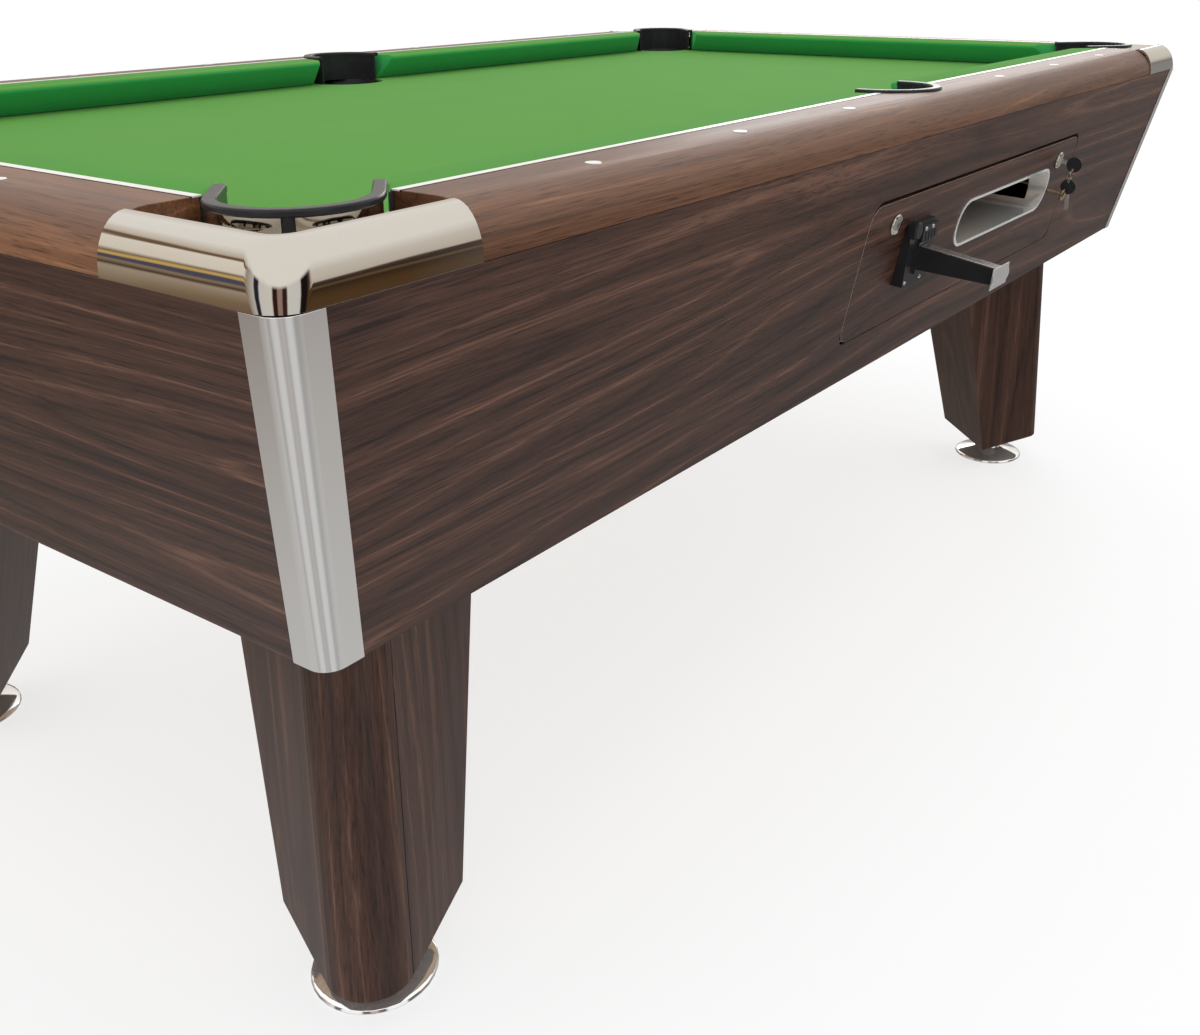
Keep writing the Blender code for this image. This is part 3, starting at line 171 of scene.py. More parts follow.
def ranged(tree, value, limits=(0.0, 1.0), results=(0.0, 1.0)):
    """A value carried from between two limits to between two results."""
    step = add_node(tree, "ShaderNodeMapRange")
    step.inputs["From Min"].default_value, step.inputs["From Max"].default_value = limits
    step.inputs["To Min"].default_value, step.inputs["To Max"].default_value = results
    tree.links.new(value, step.inputs["Value"])
    return step.outputs["Result"]


def toned(tree, value, stops):
    """Colours laid along a value, each at its own place."""
    ramp = add_node(tree, "ShaderNodeValToRGB")
    while len(ramp.color_ramp.elements) < len(stops):
        ramp.color_ramp.elements.new(0.5)
    for stop, (position, colour) in zip(ramp.color_ramp.elements, stops):
        stop.position = position
        stop.color = (*colour, 1)
    tree.links.new(value, ramp.inputs["Fac"])
    return ramp.outputs["Color"]


def noise(tree, way, **settings):
    """A noise's value along the given coordinates."""
    made = add_node(tree, "ShaderNodeTexNoise", **settings)
    tree.links.new(way, made.inputs["Vector"])
    return made.outputs["Fac"]


def stage_finish(name, colour, white_share):
    """Matt stage paint that the camera, mirrors and glass see lifted towards white by a share."""
    made, tree, shader = new_finish(name)
    shader.inputs["Base Color"].default_value = (*colour, 1)
    shader.inputs["Roughness"].default_value = 0.85
    rays = add_node(tree, "ShaderNodeLightPath").outputs
    seen = maths(tree, "ADD", rays["Is Camera Ray"], rays["Is Glossy Ray"])
    seen = maths(tree, "ADD", seen, rays["Is Transmission Ray"])
    share = maths(tree, "MULTIPLY", seen, white_share)
    share.node.use_clamp = True
    white = add_node(tree, "ShaderNodeEmission", Color=(1, 1, 1, 1), Strength=1.0)
    pale = add_node(tree, "ShaderNodeMixShader")
    tree.links.new(share, pale.inputs["Fac"])
    tree.links.new(shader.outputs["BSDF"], pale.inputs[1])
    tree.links.new(white.outputs["Emission"], pale.inputs[2])
    tree.links.new(pale.outputs["Shader"], tree.nodes["Material Output"].inputs["Surface"])
    made.cycles.emission_sampling = "NONE"
    return made


def stage_piece(name, shape, finish):
    """A floor or backdrop from a bmesh, left out of mirrors."""
    mesh = bpy.data.meshes.new(name)
    shape.to_mesh(mesh)
    shape.free()
    mesh.materials.append(finish)
    piece = bpy.data.objects.new(name, mesh)
    bpy.context.scene.collection.objects.link(piece)
    piece.visible_glossy = False
    return piece


shape = bmesh.new()
bmesh.ops.create_circle(shape, cap_ends=True, segments=64, radius=FLOOR_REACH)
stage_piece("floor", shape, stage_finish("pale floor", FLOOR_COLOUR, FLOOR_WHITE))
shape = bmesh.new()
bmesh.ops.create_uvsphere(shape, u_segments=64, v_segments=32, radius=DOME_REACH)
below = [vert for vert in shape.verts if vert.co.z < DOME_FOOT]
bmesh.ops.delete(shape, geom=below, context="VERTS")
bmesh.ops.reverse_faces(shape, faces=shape.faces)
dome = stage_piece("dome", shape, stage_finish("white dome", FLOOR_COLOUR, 1.0))
dome.visible_diffuse = False
dome.visible_shadow = False

room = bpy.data.worlds.new("games room")
bpy.context.scene.world = room
room.use_nodes = True
tree = room.node_tree
way = add_node(tree, "ShaderNodeTexCoord").outputs["Generated"]
split = add_node(tree, "ShaderNodeSeparateXYZ")
tree.links.new(way, split.inputs[0])
rise = split.outputs["Z"]


def towards(wall):
    """How squarely a direction looks at a wall of the room."""
    aim = add_node(tree, "ShaderNodeVectorMath", operation="DOT_PRODUCT")
    aim.inputs[1].default_value = wall
    tree.links.new(way, aim.inputs[0])
    return aim.outputs["Value"]


def covered(wall, share):
    """A mix that lays what goes into its B over a wall's colours, by a share."""
    mix = add_node(tree, "ShaderNodeMix", data_type="RGBA")
    tree.links.new(share, mix.inputs["Factor"])
    tree.links.new(wall, mix.inputs["A"])
    return mix


to_panes = towards(PANES_FACE)
to_shelves = towards(SHELVES_FACE)
turn = maths(tree, "ARCTAN2", to_shelves, to_panes)
along_wall = maths(tree, "MULTIPLY_ADD", turn, 1 / math.pi, 0.5)
breaks = noise(tree, way, Scale=ROOM_GRAIN, Detail=3.0)
breaks = maths(tree, "MULTIPLY_ADD", breaks, ROOM_BREAKS, 0.5 - ROOM_BREAKS / 2)
height = maths(tree, "MULTIPLY_ADD", rise, 0.5, breaks)
pane_top = ranged(tree, rise, PANE_TOP_FADE)
pane_foot = ranged(tree, rise, PANE_FOOT_FADE, (PANE_FOOT_SHARE, 1.0))
pane_height = maths(tree, "MULTIPLY", pane_top, pane_foot)
pane_share = maths(tree, "MULTIPLY", ranged(tree, to_panes, PANE_FADE), pane_height)
far_side = ranged(tree, split.outputs["X"], FAR_FADE)
far_share = maths(tree, "MULTIPLY", far_side, ranged(tree, rise, FAR_TOP_FADE))
walls = covered(toned(tree, height, ROOM_TONES), ranged(tree, to_shelves, SHELF_FADE))
tree.links.new(toned(tree, height, SHELF_TONES), walls.inputs["B"])
windows = covered(walls.outputs["Result"], pane_share)
tree.links.new(toned(tree, along_wall, PANE_TONES), windows.inputs["B"])
far_wall = covered(windows.outputs["Result"], far_share)
far_wall.inputs["B"].default_value = (*FAR_WALL, 1)
tree.links.new(far_wall.outputs["Result"], tree.nodes["Background"].inputs["Color"])

for name, stands, looks_at, size, power, in_mirrors in SOFT_BOXES:
    lamp = bpy.data.lights.new(name, "AREA")
    lamp.shape = "RECTANGLE"
    lamp.size, lamp.size_y = size
    lamp.energy = power
    soft_box = bpy.data.objects.new(name, lamp)
    soft_box.location = stands
    soft_box.visible_glossy = in_mirrors
    aim = Vector(looks_at) - Vector(stands)
    soft_box.rotation_euler = aim.to_track_quat("-Z", "Y").to_euler()
    bpy.context.scene.collection.objects.link(soft_box)

# Cabinet boards. Four leaning chipboard panels faced with dark walnut laminate, their grain running
# along each board; the faces are satin and their edges barely eased.
WALNUT_TONES = (
    (0.14, (0.0150, 0.0046, 0.0024)),
    (0.36, (0.0430, 0.0160, 0.0090)),
    (0.56, (0.0710, 0.0280, 0.0160)),
    (0.84, (0.1560, 0.0720, 0.0430)),
)
RING_PROFILE = ((0.00, 0.10), (0.16, 0.40), (0.55, 0.52), (0.86, 0.62), (1.00, 1.00))
RING_COUNT = 44.0
RING_WAVES = (0.0, 0.070, 0.070)
RING_SHARE = 0.40
STREAK_SHARE = 0.60
FIBRE_SHARE = 0.62
CLOUD_SHARE = 0.30
FIGURE_MIDDLE = 0.94
FIGURE_LEVEL = 0.44
PORE_LIMITS = (0.60, 0.72)
PORE_TINT = (0.55, 0.50, 0.48)
LAMINATE_DULLNESS = 0.36
FIBRE_DULLNESS = 0.16
BOARD_EDGE = 0.0007
ALONG_X = (0.0, 0.0, 0.0)
ALONG_Y = (0.0, 0.0, math.radians(90))
ALONG_Z = (0.0, math.radians(90), 0.0)


def walnut_figure():
    """Walnut grain along X: wavy rings with dark and tan edges, streaks, fibres and short pores."""
    group = bpy.data.node_groups.new("walnut figure", "ShaderNodeTree")
    group.interface.new_socket("Vector", in_out="INPUT", socket_type="NodeSocketVector")
    group.interface.new_socket("Figure", in_out="INPUT", socket_type="NodeSocketFloat")
    group.interface.new_socket("Color", in_out="OUTPUT", socket_type="NodeSocketColor")
    group.interface.new_socket("Roughness", in_out="OUTPUT", socket_type="NodeSocketFloat")
    group.interface.new_socket("Height", in_out="OUTPUT", socket_type="NodeSocketFloat")
    start = add_node(group, "NodeGroupInput")
    end = add_node(group, "NodeGroupOutput")

    def drawn_out(way, scale, detail, roughness=0.5):
        """Noise drawn out along the grain."""
        lay = add_node(group, "ShaderNodeMapping", Scale=scale)
        group.links.new(way, lay.inputs["Vector"])
        way = lay.outputs["Vector"]
        return noise(group, way, Scale=1.0, Detail=detail, Roughness=roughness)

    straight = start.outputs["Vector"]
    waves = drawn_out(straight, (0.75, 4.0, 4.0), 2.0).node.outputs["Color"]
    bend = add_node(group, "ShaderNodeVectorMath", operation="MULTIPLY_ADD")
    bend.inputs[1].default_value = RING_WAVES
    group.links.new(waves, bend.inputs[0])
    group.links.new(straight, bend.inputs[2])
    wavy = bend.outputs["Vector"]
    contour = drawn_out(wavy, (0.24, 5.5, 5.5), 1.5, 0.35)
    rings = maths(group, "PINGPONG", maths(group, "MULTIPLY", contour, RING_COUNT), 1.0)
    rings = toned(group, rings, [(place, (value,) * 3) for place, value in RING_PROFILE])
    broad = drawn_out(wavy, (0.6, 48.0, 48.0), 1.0)
    narrow = drawn_out(wavy, (1.1, 150.0, 150.0), 1.0)
    streaks = maths(group, "MULTIPLY", maths(group, "ADD", broad, narrow), 0.5)
    fibres = drawn_out(wavy, (4.0, 480.0, 480.0), 2.0, 0.6)
    clouds = drawn_out(wavy, (0.6, 3.2, 3.2), 1.0)
    pores = ranged(group, drawn_out(wavy, (28.0, 900.0, 900.0), 0.0), PORE_LIMITS)
    figure = maths(group, "MULTIPLY", rings, RING_SHARE)
    figure = maths(group, "MULTIPLY_ADD", streaks, STREAK_SHARE, figure)
    figure = maths(group, "MULTIPLY_ADD", fibres, FIBRE_SHARE, figure)
    figure = maths(group, "MULTIPLY_ADD", clouds, CLOUD_SHARE, figure)
    figure = maths(group, "SUBTRACT", figure, FIGURE_MIDDLE)
    figure = maths(group, "MULTIPLY_ADD", figure, start.outputs["Figure"], FIGURE_LEVEL)
    darken = add_node(group, "ShaderNodeMix", data_type="RGBA", blend_type="MULTIPLY")
    darken.inputs["B"].default_value = (*PORE_TINT, 1)
    group.links.new(pores, darken.inputs["Factor"])
    group.links.new(toned(group, figure, WALNUT_TONES), darken.inputs["A"])
    group.links.new(darken.outputs["Result"], end.inputs["Color"])
    dullness = maths(group, "MULTIPLY_ADD", fibres, FIBRE_DULLNESS, LAMINATE_DULLNESS)
    group.links.new(dullness, end.inputs["Roughness"])
    height = maths(group, "SUBTRACT", maths(group, "MULTIPLY", fibres, 0.4), pores)
    group.links.new(height, end.inputs["Height"])
    return group


walnut_group = walnut_figure()


def object_way(tree, **lay):
    """A piece's own coordinates, scaled, turned or shifted where that is asked."""
    way = add_node(tree, "ShaderNodeTexCoord").outputs["Object"]
    if lay:
        mapping = add_node(tree, "ShaderNodeMapping", **lay)
        tree.links.new(way, mapping.inputs["Vector"])
        way = mapping.outputs["Vector"]
    return way


def bumped(tree, shader, height, strength, distance):
    """Gives a shader the relief of a height."""
    bump = add_node(tree, "ShaderNodeBump", Strength=strength, Distance=distance)
    tree.links.new(height, bump.inputs["Height"])
    tree.links.new(bump.outputs["Normal"], shader.inputs["Normal"])


def walnut(name, turn, shift, gain=(1.0, 1.0, 1.0), figure_strength=1.25):
    """Walnut laminate, its grain along X after the turn; the shift picks a part of the tree."""
    made, tree, shader = new_finish(name)
    figure = add_node(tree, "ShaderNodeGroup", node_tree=walnut_group)
    figure.inputs["Figure"].default_value = figure_strength
    tree.links.new(object_way(tree, Rotation=turn, Location=shift), figure.inputs["Vector"])
    tint = add_node(tree, "ShaderNodeMix", data_type="RGBA", blend_type="MULTIPLY")
    tint.inputs["Factor"].default_value = 1.0
    tint.inputs["B"].default_value = (*gain, 1)
    tree.links.new(figure.outputs["Color"], tint.inputs["A"])
    tree.links.new(tint.outputs["Result"], shader.inputs["Base Color"])
    tree.links.new(figure.outputs["Roughness"], shader.inputs["Roughness"])
    bumped(tree, shader, figure.outputs["Height"], 0.10, 0.0004)
    shader.inputs["Specular IOR Level"].default_value = 0.42
    return made


def node_body(node):
    """The CAD body that a node belongs to."""
    bodies = frame["record"]["behaviour"]["bodies"]
    return next(body for body, nodes in bodies.items() if node in nodes)


def merged_copy(node):
    """A bmesh of a CAD node with its loose triangles merged and its flat faces made whole."""
    shape = bmesh.new()
    shape.from_mesh(frame["nodes"][node].data)
    bmesh.ops.remove_doubles(shape, verts=shape.verts, dist=0.00002)
    flat = math.radians(0.4)
    bmesh.ops.dissolve_limit(shape, angle_limit=flat, verts=shape.verts, edges=shape.edges)
    return shape


def place_piece(name, shape, finish, body, smooth_angle=30):
    """A finished piece from a bmesh, riding on a CAD body."""
    mesh = bpy.data.meshes.new(name)
    shape.to_mesh(mesh)
    shape.free()
    mesh.materials.append(finish)
    mesh.shade_smooth()
    mesh.set_sharp_from_angle(angle=math.radians(smooth_angle))
    piece = bpy.data.objects.new(name, mesh)
    bpy.context.scene.collection.objects.link(piece)
    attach(piece, body)
    return piece


def ease_edges(piece, width, segments=2, angle=30, edge_finish=-1):
    """Rounds a piece's edges so that they catch the light, and keeps its flats flat beside them."""
    step = piece.modifiers.new("eased edges", "BEVEL")
    step.material = edge_finish
    step.width = width
    step.segments = segments
    step.limit_method = "ANGLE"
    step.angle_limit = math.radians(angle)
    step = piece.modifiers.new("true faces", "WEIGHTED_NORMAL")
    step.keep_sharp = True


def dressed(node, finish, edge, segments=2, edge_finish=None):
    """A CAD node's own shape with round faces made smooth, edges eased and its real finish."""
    shape = merged_copy(node)
    piece = place_piece(node + "_finished", shape, finish, node_body(node))
    if edge_finish:
        piece.data.materials.append(edge_finish)
    if edge:
        ease_edges(piece, edge, segments, edge_finish=1 if edge_finish else -1)
    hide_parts(node)
    return piece


long_board = walnut("walnut along the sides", ALONG_X, (2.6, 1.10, 0.05))
end_board = walnut("walnut across the ends", ALONG_Y, (3.1, 0.7, 0.4))
for node in ("front_panel", "back_panel"):
    dressed(node, long_board, BOARD_EDGE)
for node in ("left_end_panel", "right_end_panel"):
    dressed(node, end_board, BOARD_EDGE)

# Bare boards inside. The base board and the ball runs are planed softwood, pale and matt. The runs
# hang from the slate inside the cabinet, where only an open door or a pocket shows them.
PINE_LIGHT = (0.58, 0.42, 0.25)
PINE_DARK = (0.40, 0.25, 0.12)
PINE_EDGE = 0.0008
LONG_PINE = (
    "base_board",
    "front_ball_run",
    "front_ball_run_end",
    "back_ball_run",
    "back_ball_run_end",
)


def bare_wood(name, turn):
    """Planed softwood with its grain along X after the turn."""
    made, tree, shader = new_finish(name)
    way = object_way(tree, Rotation=turn, Scale=(1.2, 28.0, 28.0))
    grain = noise(tree, way, Scale=1.0, Detail=4.0, Distortion=0.4)
    tones = toned(tree, grain, ((0.35, PINE_DARK), (0.62, PINE_LIGHT)))
    tree.links.new(tones, shader.inputs["Base Color"])
    bumped(tree, shader, grain, 0.15, 0.0005)
    shader.inputs["Roughness"].default_value = 0.62
    return made


pine_along = bare_wood("pine along the table", ALONG_X)
pine_across = bare_wood("pine across the table", ALONG_Y)
for node in LONG_PINE:
    dressed(node, pine_along, PINE_EDGE)
dressed("cross_ball_run", pine_across, PINE_EDGE)

# Corner trims. Satin aluminium angles rolled to a round nose and pinned over the corner joints,
# with the fine lengthwise lines that drawing and brushing leave.
TRIM_COLOUR = (0.79, 0.78, 0.76)
TRIM_LINES = (900.0, 900.0, 4.0)
CORNERS = ("front_left", "front_right", "back_left", "back_right")


def drawn_metal(name, colour, roughness, line_scale, strength, metallic=1.0):
    """Metal with fine lines along one direction, given by the scale on each axis."""
    made, tree, shader = new_finish(name)
    way = object_way(tree, Scale=line_scale)
    lines = noise(tree, way, Scale=1.0, Detail=3.0, Roughness=0.6)
    dullness = ranged(tree, lines, results=(roughness * 0.75, roughness * 1.3))
    tree.links.new(dullness, shader.inputs["Roughness"])
    bumped(tree, shader, lines, strength, 0.0002)
    shader.inputs["Base Color"].default_value = (*colour, 1)
    shader.inputs["Metallic"].default_value = metallic
    return made


satin_trim = drawn_metal("satin aluminium trim", TRIM_COLOUR, 0.19, TRIM_LINES, 0.03)
for corner in CORNERS:
    dressed("corner_trim_" + corner, satin_trim, 0.0004)

# Slate. A sawn and honed stone bed that lies in the rabbet of the boards; only its edges in the
# pockets show.
SLATE_DARK = (0.055, 0.058, 0.064)
SLATE_LIGHT = (0.13, 0.135, 0.145)


def speckled(name, dark, light, grain, detail, roughness):
    """A plain finish that goes from a dark to a light tone in clouds or specks."""
    made, tree, shader = new_finish(name)
    cloud = noise(tree, object_way(tree), Scale=grain, Detail=detail)
    tones = toned(tree, cloud, ((0.0, dark), (1.0, light)))
    tree.links.new(tones, shader.inputs["Base Color"])
    shader.inputs["Roughness"].default_value = roughness
    return made


dressed("slate_bed", speckled("honed slate", SLATE_DARK, SLATE_LIGHT, 14.0, 6.0, 0.7), 0.0010)

# Bed cloth. Napped green wool stretched over the slate and glued down into the pocket holes; it is
# thin, fuzzy and almost without shine.
CLOTH_GREEN = (0.098, 0.298, 0.047)
CLOTH_GREEN_DEEP = (0.072, 0.243, 0.033)
CLOTH_THICK = 0.0012
CLOTH_TURN_DOWN = 0.007
NAP_FUZZ = 0.6
NAP_CLOUDS = 0.4
TABLE_MIDDLE_Y = 0.04137
POCKET_PLACES = (
    (-0.951, -0.488),
    (-0.951, 0.488),
    (0.951, -0.488),
    (0.951, 0.488),
    (0.0, -0.503),
    (0.0, 0.503),
)
POCKET_HOLE = 0.0625
HOLE_MARGIN = 0.001


def wool_nap():
    """A short nap of fuzz in soft clouds, as a colour mask and a height."""
    group = bpy.data.node_groups.new("wool nap", "ShaderNodeTree")
    group.interface.new_socket("Vector", in_out="INPUT", socket_type="NodeSocketVector")
    group.interface.new_socket("Mask", in_out="OUTPUT", socket_type="NodeSocketFloat")
    group.interface.new_socket("Height", in_out="OUTPUT", socket_type="NodeSocketFloat")
    start = add_node(group, "NodeGroupInput")
    end = add_node(group, "NodeGroupOutput")
    fuzz = noise(group, start.outputs["Vector"], Scale=1400.0, Detail=2.0)
    clouds = noise(group, start.outputs["Vector"], Scale=9.0, Detail=3.0)
    mask = maths(group, "MULTIPLY", clouds, NAP_CLOUDS)
    mask = maths(group, "MULTIPLY_ADD", fuzz, NAP_FUZZ, mask)
    group.links.new(mask, end.inputs["Mask"])
    group.links.new(fuzz, end.inputs["Height"])
    return group


wool_group = wool_nap()


def wool_cloth(name, light, deep):
    """Napped wool between a light and a deep tone."""
    made, tree, shader = new_finish(name)
    nap = add_node(tree, "ShaderNodeGroup", node_tree=wool_group)
    tree.links.new(object_way(tree), nap.inputs["Vector"])
    mix = add_node(tree, "ShaderNodeMix", data_type="RGBA")
    mix.inputs["A"].default_value = (*deep, 1)
    mix.inputs["B"].default_value = (*light, 1)
    tree.links.new(nap.outputs["Mask"], mix.inputs["Factor"])
    tree.links.new(mix.outputs["Result"], shader.inputs["Base Color"])
    bumped(tree, shader, nap.outputs["Height"], 0.25, 0.0003)
    shader.inputs["Roughness"].default_value = 0.95
    shader.inputs["Specular IOR Level"].default_value = 0.1
    shader.inputs["Sheen Weight"].default_value = 0.05
    shader.inputs["Sheen Roughness"].default_value = 0.5
    return made


green_wool = wool_cloth("green wool", CLOTH_GREEN, CLOTH_GREEN_DEEP)
shape = merged_copy("bed_cloth")
under_and_sides = [face for face in shape.faces if face.normal.z < 0.9]
bmesh.ops.delete(shape, geom=under_and_sides, context="FACES")
pocket_centres = [Vector((x, TABLE_MIDDLE_Y + y)) for x, y in POCKET_PLACES]
rims = []
for edge in shape.edges:
    middle = (edge.verts[0].co + edge.verts[1].co) / 2
    near = min((middle.xy - centre).length for centre in pocket_centres)
    if edge.is_boundary and near < POCKET_HOLE + HOLE_MARGIN:
        rims.append(edge)
# The turn-down is made face by face, because Blender's extrusions number their faces in a new order
# at each run, and the bevel after them depends on that order.
drop = Vector((0, 0, -CLOTH_TURN_DOWN))
lowered = {}
for edge in rims:
    for vert in edge.verts:
        if vert not in lowered:
            lowered[vert] = shape.verts.new(vert.co + drop)
for edge in rims:
    start = edge.link_loops[0].vert
    end = edge.other_vert(start)
    shape.faces.new((end, start, lowered[start], lowered[end]))
cloth = place_piece("stretched_bed_cloth", shape, green_wool, "table", 20)
thick = cloth.modifiers.new("cloth thickness", "SOLIDIFY")
thick.thickness = CLOTH_THICK
thick.offset = -1.0
ease_edges(cloth, 0.0010, 3, 40)
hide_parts("bed_cloth")

# Cushions. Rubber strips glued to the rails and wrapped in the same wool, drawn tight over the
# nose and folded in at the cut ends. The wool is split by the slope of each face: the tops a touch
# darker than the bed, the rounded rim lighter as a painted highlight, and the nose a bluer,
# stronger green as painted shade. Their backs, seen only past the rails' ends, are bare rubber.
CUSHIONS = (
    "front_cushion_left",
    "front_cushion_right",
    "back_cushion_left",
    "back_cushion_right",
    "left_cushion",
    "right_cushion",
)
TOP_GREEN = (0.085, 0.290, 0.046)
TOP_GREEN_DEEP = (0.062, 0.236, 0.032)
# Painted shade: the nose faces' own bluer green stands for the tint they take in shade.
SHADED_NOSE_GREEN = (0.058, 0.460, 0.140)
SHADED_NOSE_GREEN_DEEP = (0.044, 0.385, 0.108)
# Painted highlight: a lighter green for the rounded rim where the nose catches the light.
LIT_RIM_GREEN = (0.150, 0.390, 0.092)
LIT_RIM_GREEN_DEEP = (0.112, 0.330, 0.066)
RUBBER_DARK = (0.016, 0.012, 0.010)
RUBBER_LIGHT = (0.045, 0.034, 0.028)
CUSHION_EDGE = 0.0022
OUTWARD = {"front": (0, -1, 0), "back": (0, 1, 0), "left": (-1, 0, 0), "right": (1, 0, 0)}
FACES_OUT = 0.7
FACES_UP = 0.93
LEANS_UP = 0.3
TOP, NOSE, LIT_RIM, BACK = range(4)
top_wool = wool_cloth("cushion wool", TOP_GREEN, TOP_GREEN_DEEP)
shaded_nose_wool = wool_cloth("cushion nose wool, painted shade", SHADED_NOSE_GREEN, SHADED_NOSE_GREEN_DEEP)
lit_rim_wool = wool_cloth("cushion rim, painted highlight", LIT_RIM_GREEN, LIT_RIM_GREEN_DEEP)
rubber_back = speckled("bare rubber back", RUBBER_DARK, RUBBER_LIGHT, 400.0, 2.0, 0.6)


def cushion_finish(normal, outward):
    """A cushion face's finish number by its slope; rim and nose get painted highlight and shade."""
    if normal.dot(outward) > FACES_OUT:
        return BACK
    if normal.z > FACES_UP:
        return TOP
    return LIT_RIM if normal.z > LEANS_UP else NOSE


for node in CUSHIONS:
    shape = merged_copy(node)
    sharp = [edge for edge in shape.edges if edge.calc_face_angle(0) > math.radians(30)]
    bmesh.ops.bevel(
        shape,
        geom=sharp,
        offset=CUSHION_EDGE,
        affect="EDGES",
        segments=3,
        profile=0.5,
        material=-1,
        clamp_overlap=True,
    )
    name = node + "_wrapped"
    cushion = place_piece(name, shape, top_wool, "table", 40)
    for finish in (shaded_nose_wool, lit_rim_wool, rubber_back):
        cushion.data.materials.append(finish)
    outward = Vector(OUTWARD[node.split("_")[0]])
    for polygon in cushion.data.polygons:
        polygon.material_index = cushion_finish(polygon.normal, outward)
    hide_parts(node)

# Rails. Bullnose boards of the same walnut laminate, bolted down through the slate, with white
# round sights let into their tops and a white inlay strip, edged by a dark line, beside the
# cushions. Their walnut is made two to three times lighter than the boards' as painted sheen of
# the light on their tops, the end rails most.
RAIL_TOP = 0.806
HALF_LENGTH = 1.07
HALF_WIDTH = 0.607
RAIL_EDGE = 0.0006
# Painted sheen: these gains lighten the rails' walnut for the light on their tops, the ends most.
SIDE_RAIL_PAINTED_SHEEN = (2.25, 2.45, 1.95)
END_RAIL_PAINTED_SHEEN = (3.10, 3.45, 2.80)
RAIL_FIGURE = 0.7
SIGHT_INSET = 0.042
SIGHT_RADIUS = 0.0075
SIGHT_PROUD = 0.0004
SIGHT_STEP = 0.235
INLAY_INSET = 0.0795
INLAY_WIDTH = 0.0085
INLAY_LINE = 0.0014
INLAY_PROUD = 0.0003
INLAY_DARK = (0.70, 0.69, 0.66)
INLAY_LIGHT = (0.86, 0.85, 0.83)
LINE_DARK = (0.010, 0.007, 0.005)
LINE_LIGHT = (0.030, 0.020, 0.015)
CAP_LEG = 0.182
MIDDLE_COLLAR = 0.0690
side_rail_painted_sheen = walnut(
    "walnut along the rails, painted sheen", ALONG_X, (1.7, 0.35, 0.21), SIDE_RAIL_PAINTED_SHEEN, RAIL_FIGURE
)
end_rail_painted_sheen = walnut("walnut across the rails, painted sheen", ALONG_Y, (2.3, 1.4, 0.9), END_RAIL_PAINTED_SHEEN, RAIL_FIGURE)
for node in ("front_rail", "back_rail"):
    dressed(node, side_rail_painted_sheen, RAIL_EDGE)
for node in ("left_rail", "right_rail"):
    dressed(node, end_rail_painted_sheen, RAIL_EDGE)

sight_places = []
for sign in (-1, 1):
    side_y = TABLE_MIDDLE_Y + sign * (HALF_WIDTH - SIGHT_INSET)
    end_x = sign * (HALF_LENGTH - SIGHT_INSET)
    sight_places += [(count * SIGHT_STEP, side_y) for count in (-3, -2, -1, 1, 2, 3)]
    sight_places += [(end_x, TABLE_MIDDLE_Y + count * SIGHT_STEP) for count in (-1, 0, 1)]
shape = bmesh.new()
for x, y in sight_places:
    disc = bmesh.ops.create_cone(
        shape,
        cap_ends=True,
        segments=24,
        radius1=SIGHT_RADIUS,
        radius2=SIGHT_RADIUS * 0.9,
        depth=SIGHT_PROUD * 4,
    )
    bmesh.ops.translate(shape, verts=disc["verts"], vec=(x, y, RAIL_TOP - SIGHT_PROUD))
white_inlay = speckled("white inlay", INLAY_DARK, INLAY_LIGHT, 160.0, 2.0, 0.3)
place_piece("rail_sights", shape, white_inlay, "table")


def inlaid_strip(shape, centre, size):
    """A thin strip let into the top of a rail."""
    strip = bmesh.ops.create_cube(shape, size=1.0)["verts"]
    bmesh.ops.scale(shape, verts=strip, vec=(*size, INLAY_PROUD * 4))
    bmesh.ops.translate(shape, verts=strip, vec=(*centre, RAIL_TOP - INLAY_PROUD))


strip_in = INLAY_INSET + INLAY_WIDTH / 2
strips = []
for sign in (-1, 1):
    side_y = TABLE_MIDDLE_Y + sign * (HALF_WIDTH - strip_in)
    for end in (-1, 1):
        first, last = MIDDLE_COLLAR * end, (HALF_LENGTH - CAP_LEG) * end
        strips.append((((first + last) / 2, side_y), (abs(last - first), INLAY_WIDTH)))
    end_size = (INLAY_WIDTH, 2 * (HALF_WIDTH - CAP_LEG))
    strips.append(((sign * (HALF_LENGTH - strip_in), TABLE_MIDDLE_Y), end_size))
shape = bmesh.new()
for centre, size in strips:
    inlaid_strip(shape, centre, size)
place_piece("rail_inlay", shape, white_inlay, "table")

line_out = (INLAY_WIDTH + INLAY_LINE) / 2
shape = bmesh.new()
for (x, y), (length, across) in strips:
    if length > across:
        y += math.copysign(line_out, y - TABLE_MIDDLE_Y)
        inlaid_strip(shape, (x, y), (length, INLAY_LINE))
    else:
        x += math.copysign(line_out, x)
        inlaid_strip(shape, (x, y), (INLAY_LINE, across))
dark_line = speckled("dark inlay line", LINE_DARK, LINE_LIGHT, 90.0, 2.0, 0.4)
place_piece("rail_inlay_line", shape, dark_line, "table")

# Corner caps. Zinc castings with a bullnose rim carried round the corner and a sunk well for the
# pocket, polished and chromed to a mirror, and fixed down on the corners of the boards.
CHROME_COLOUR = (0.52, 0.485, 0.430)
CAP_RADIUS = 0.042
CAP_FOOT_RADIUS = 0.020
SWELL_FROM = 0.7415
SWELL_POWER = 1.5
SKIN_DEPTH = CAP_FOOT_RADIUS * 0.7
PAST_CORNER = -0.0001


def mirror_chrome(name, colour, roughness):
    """Polished plating with faint waviness and a few dull smears."""
    made, tree, shader = new_finish(name)
    way = object_way(tree)
    smears = noise(tree, way, Scale=22.0, Detail=3.0)
    waves = noise(tree, way, Scale=14.0, Detail=0.0)
    dullness = ranged(tree, smears, (0.35, 0.75), (roughness * 0.6, roughness * 1.8))
    tree.links.new(dullness, shader.inputs["Roughness"])
    bumped(tree, shader, waves, 0.05, 0.001)
    shader.inputs["Base Color"].default_value = (*colour, 1)
    shader.inputs["Metallic"].default_value = 1.0
    return made


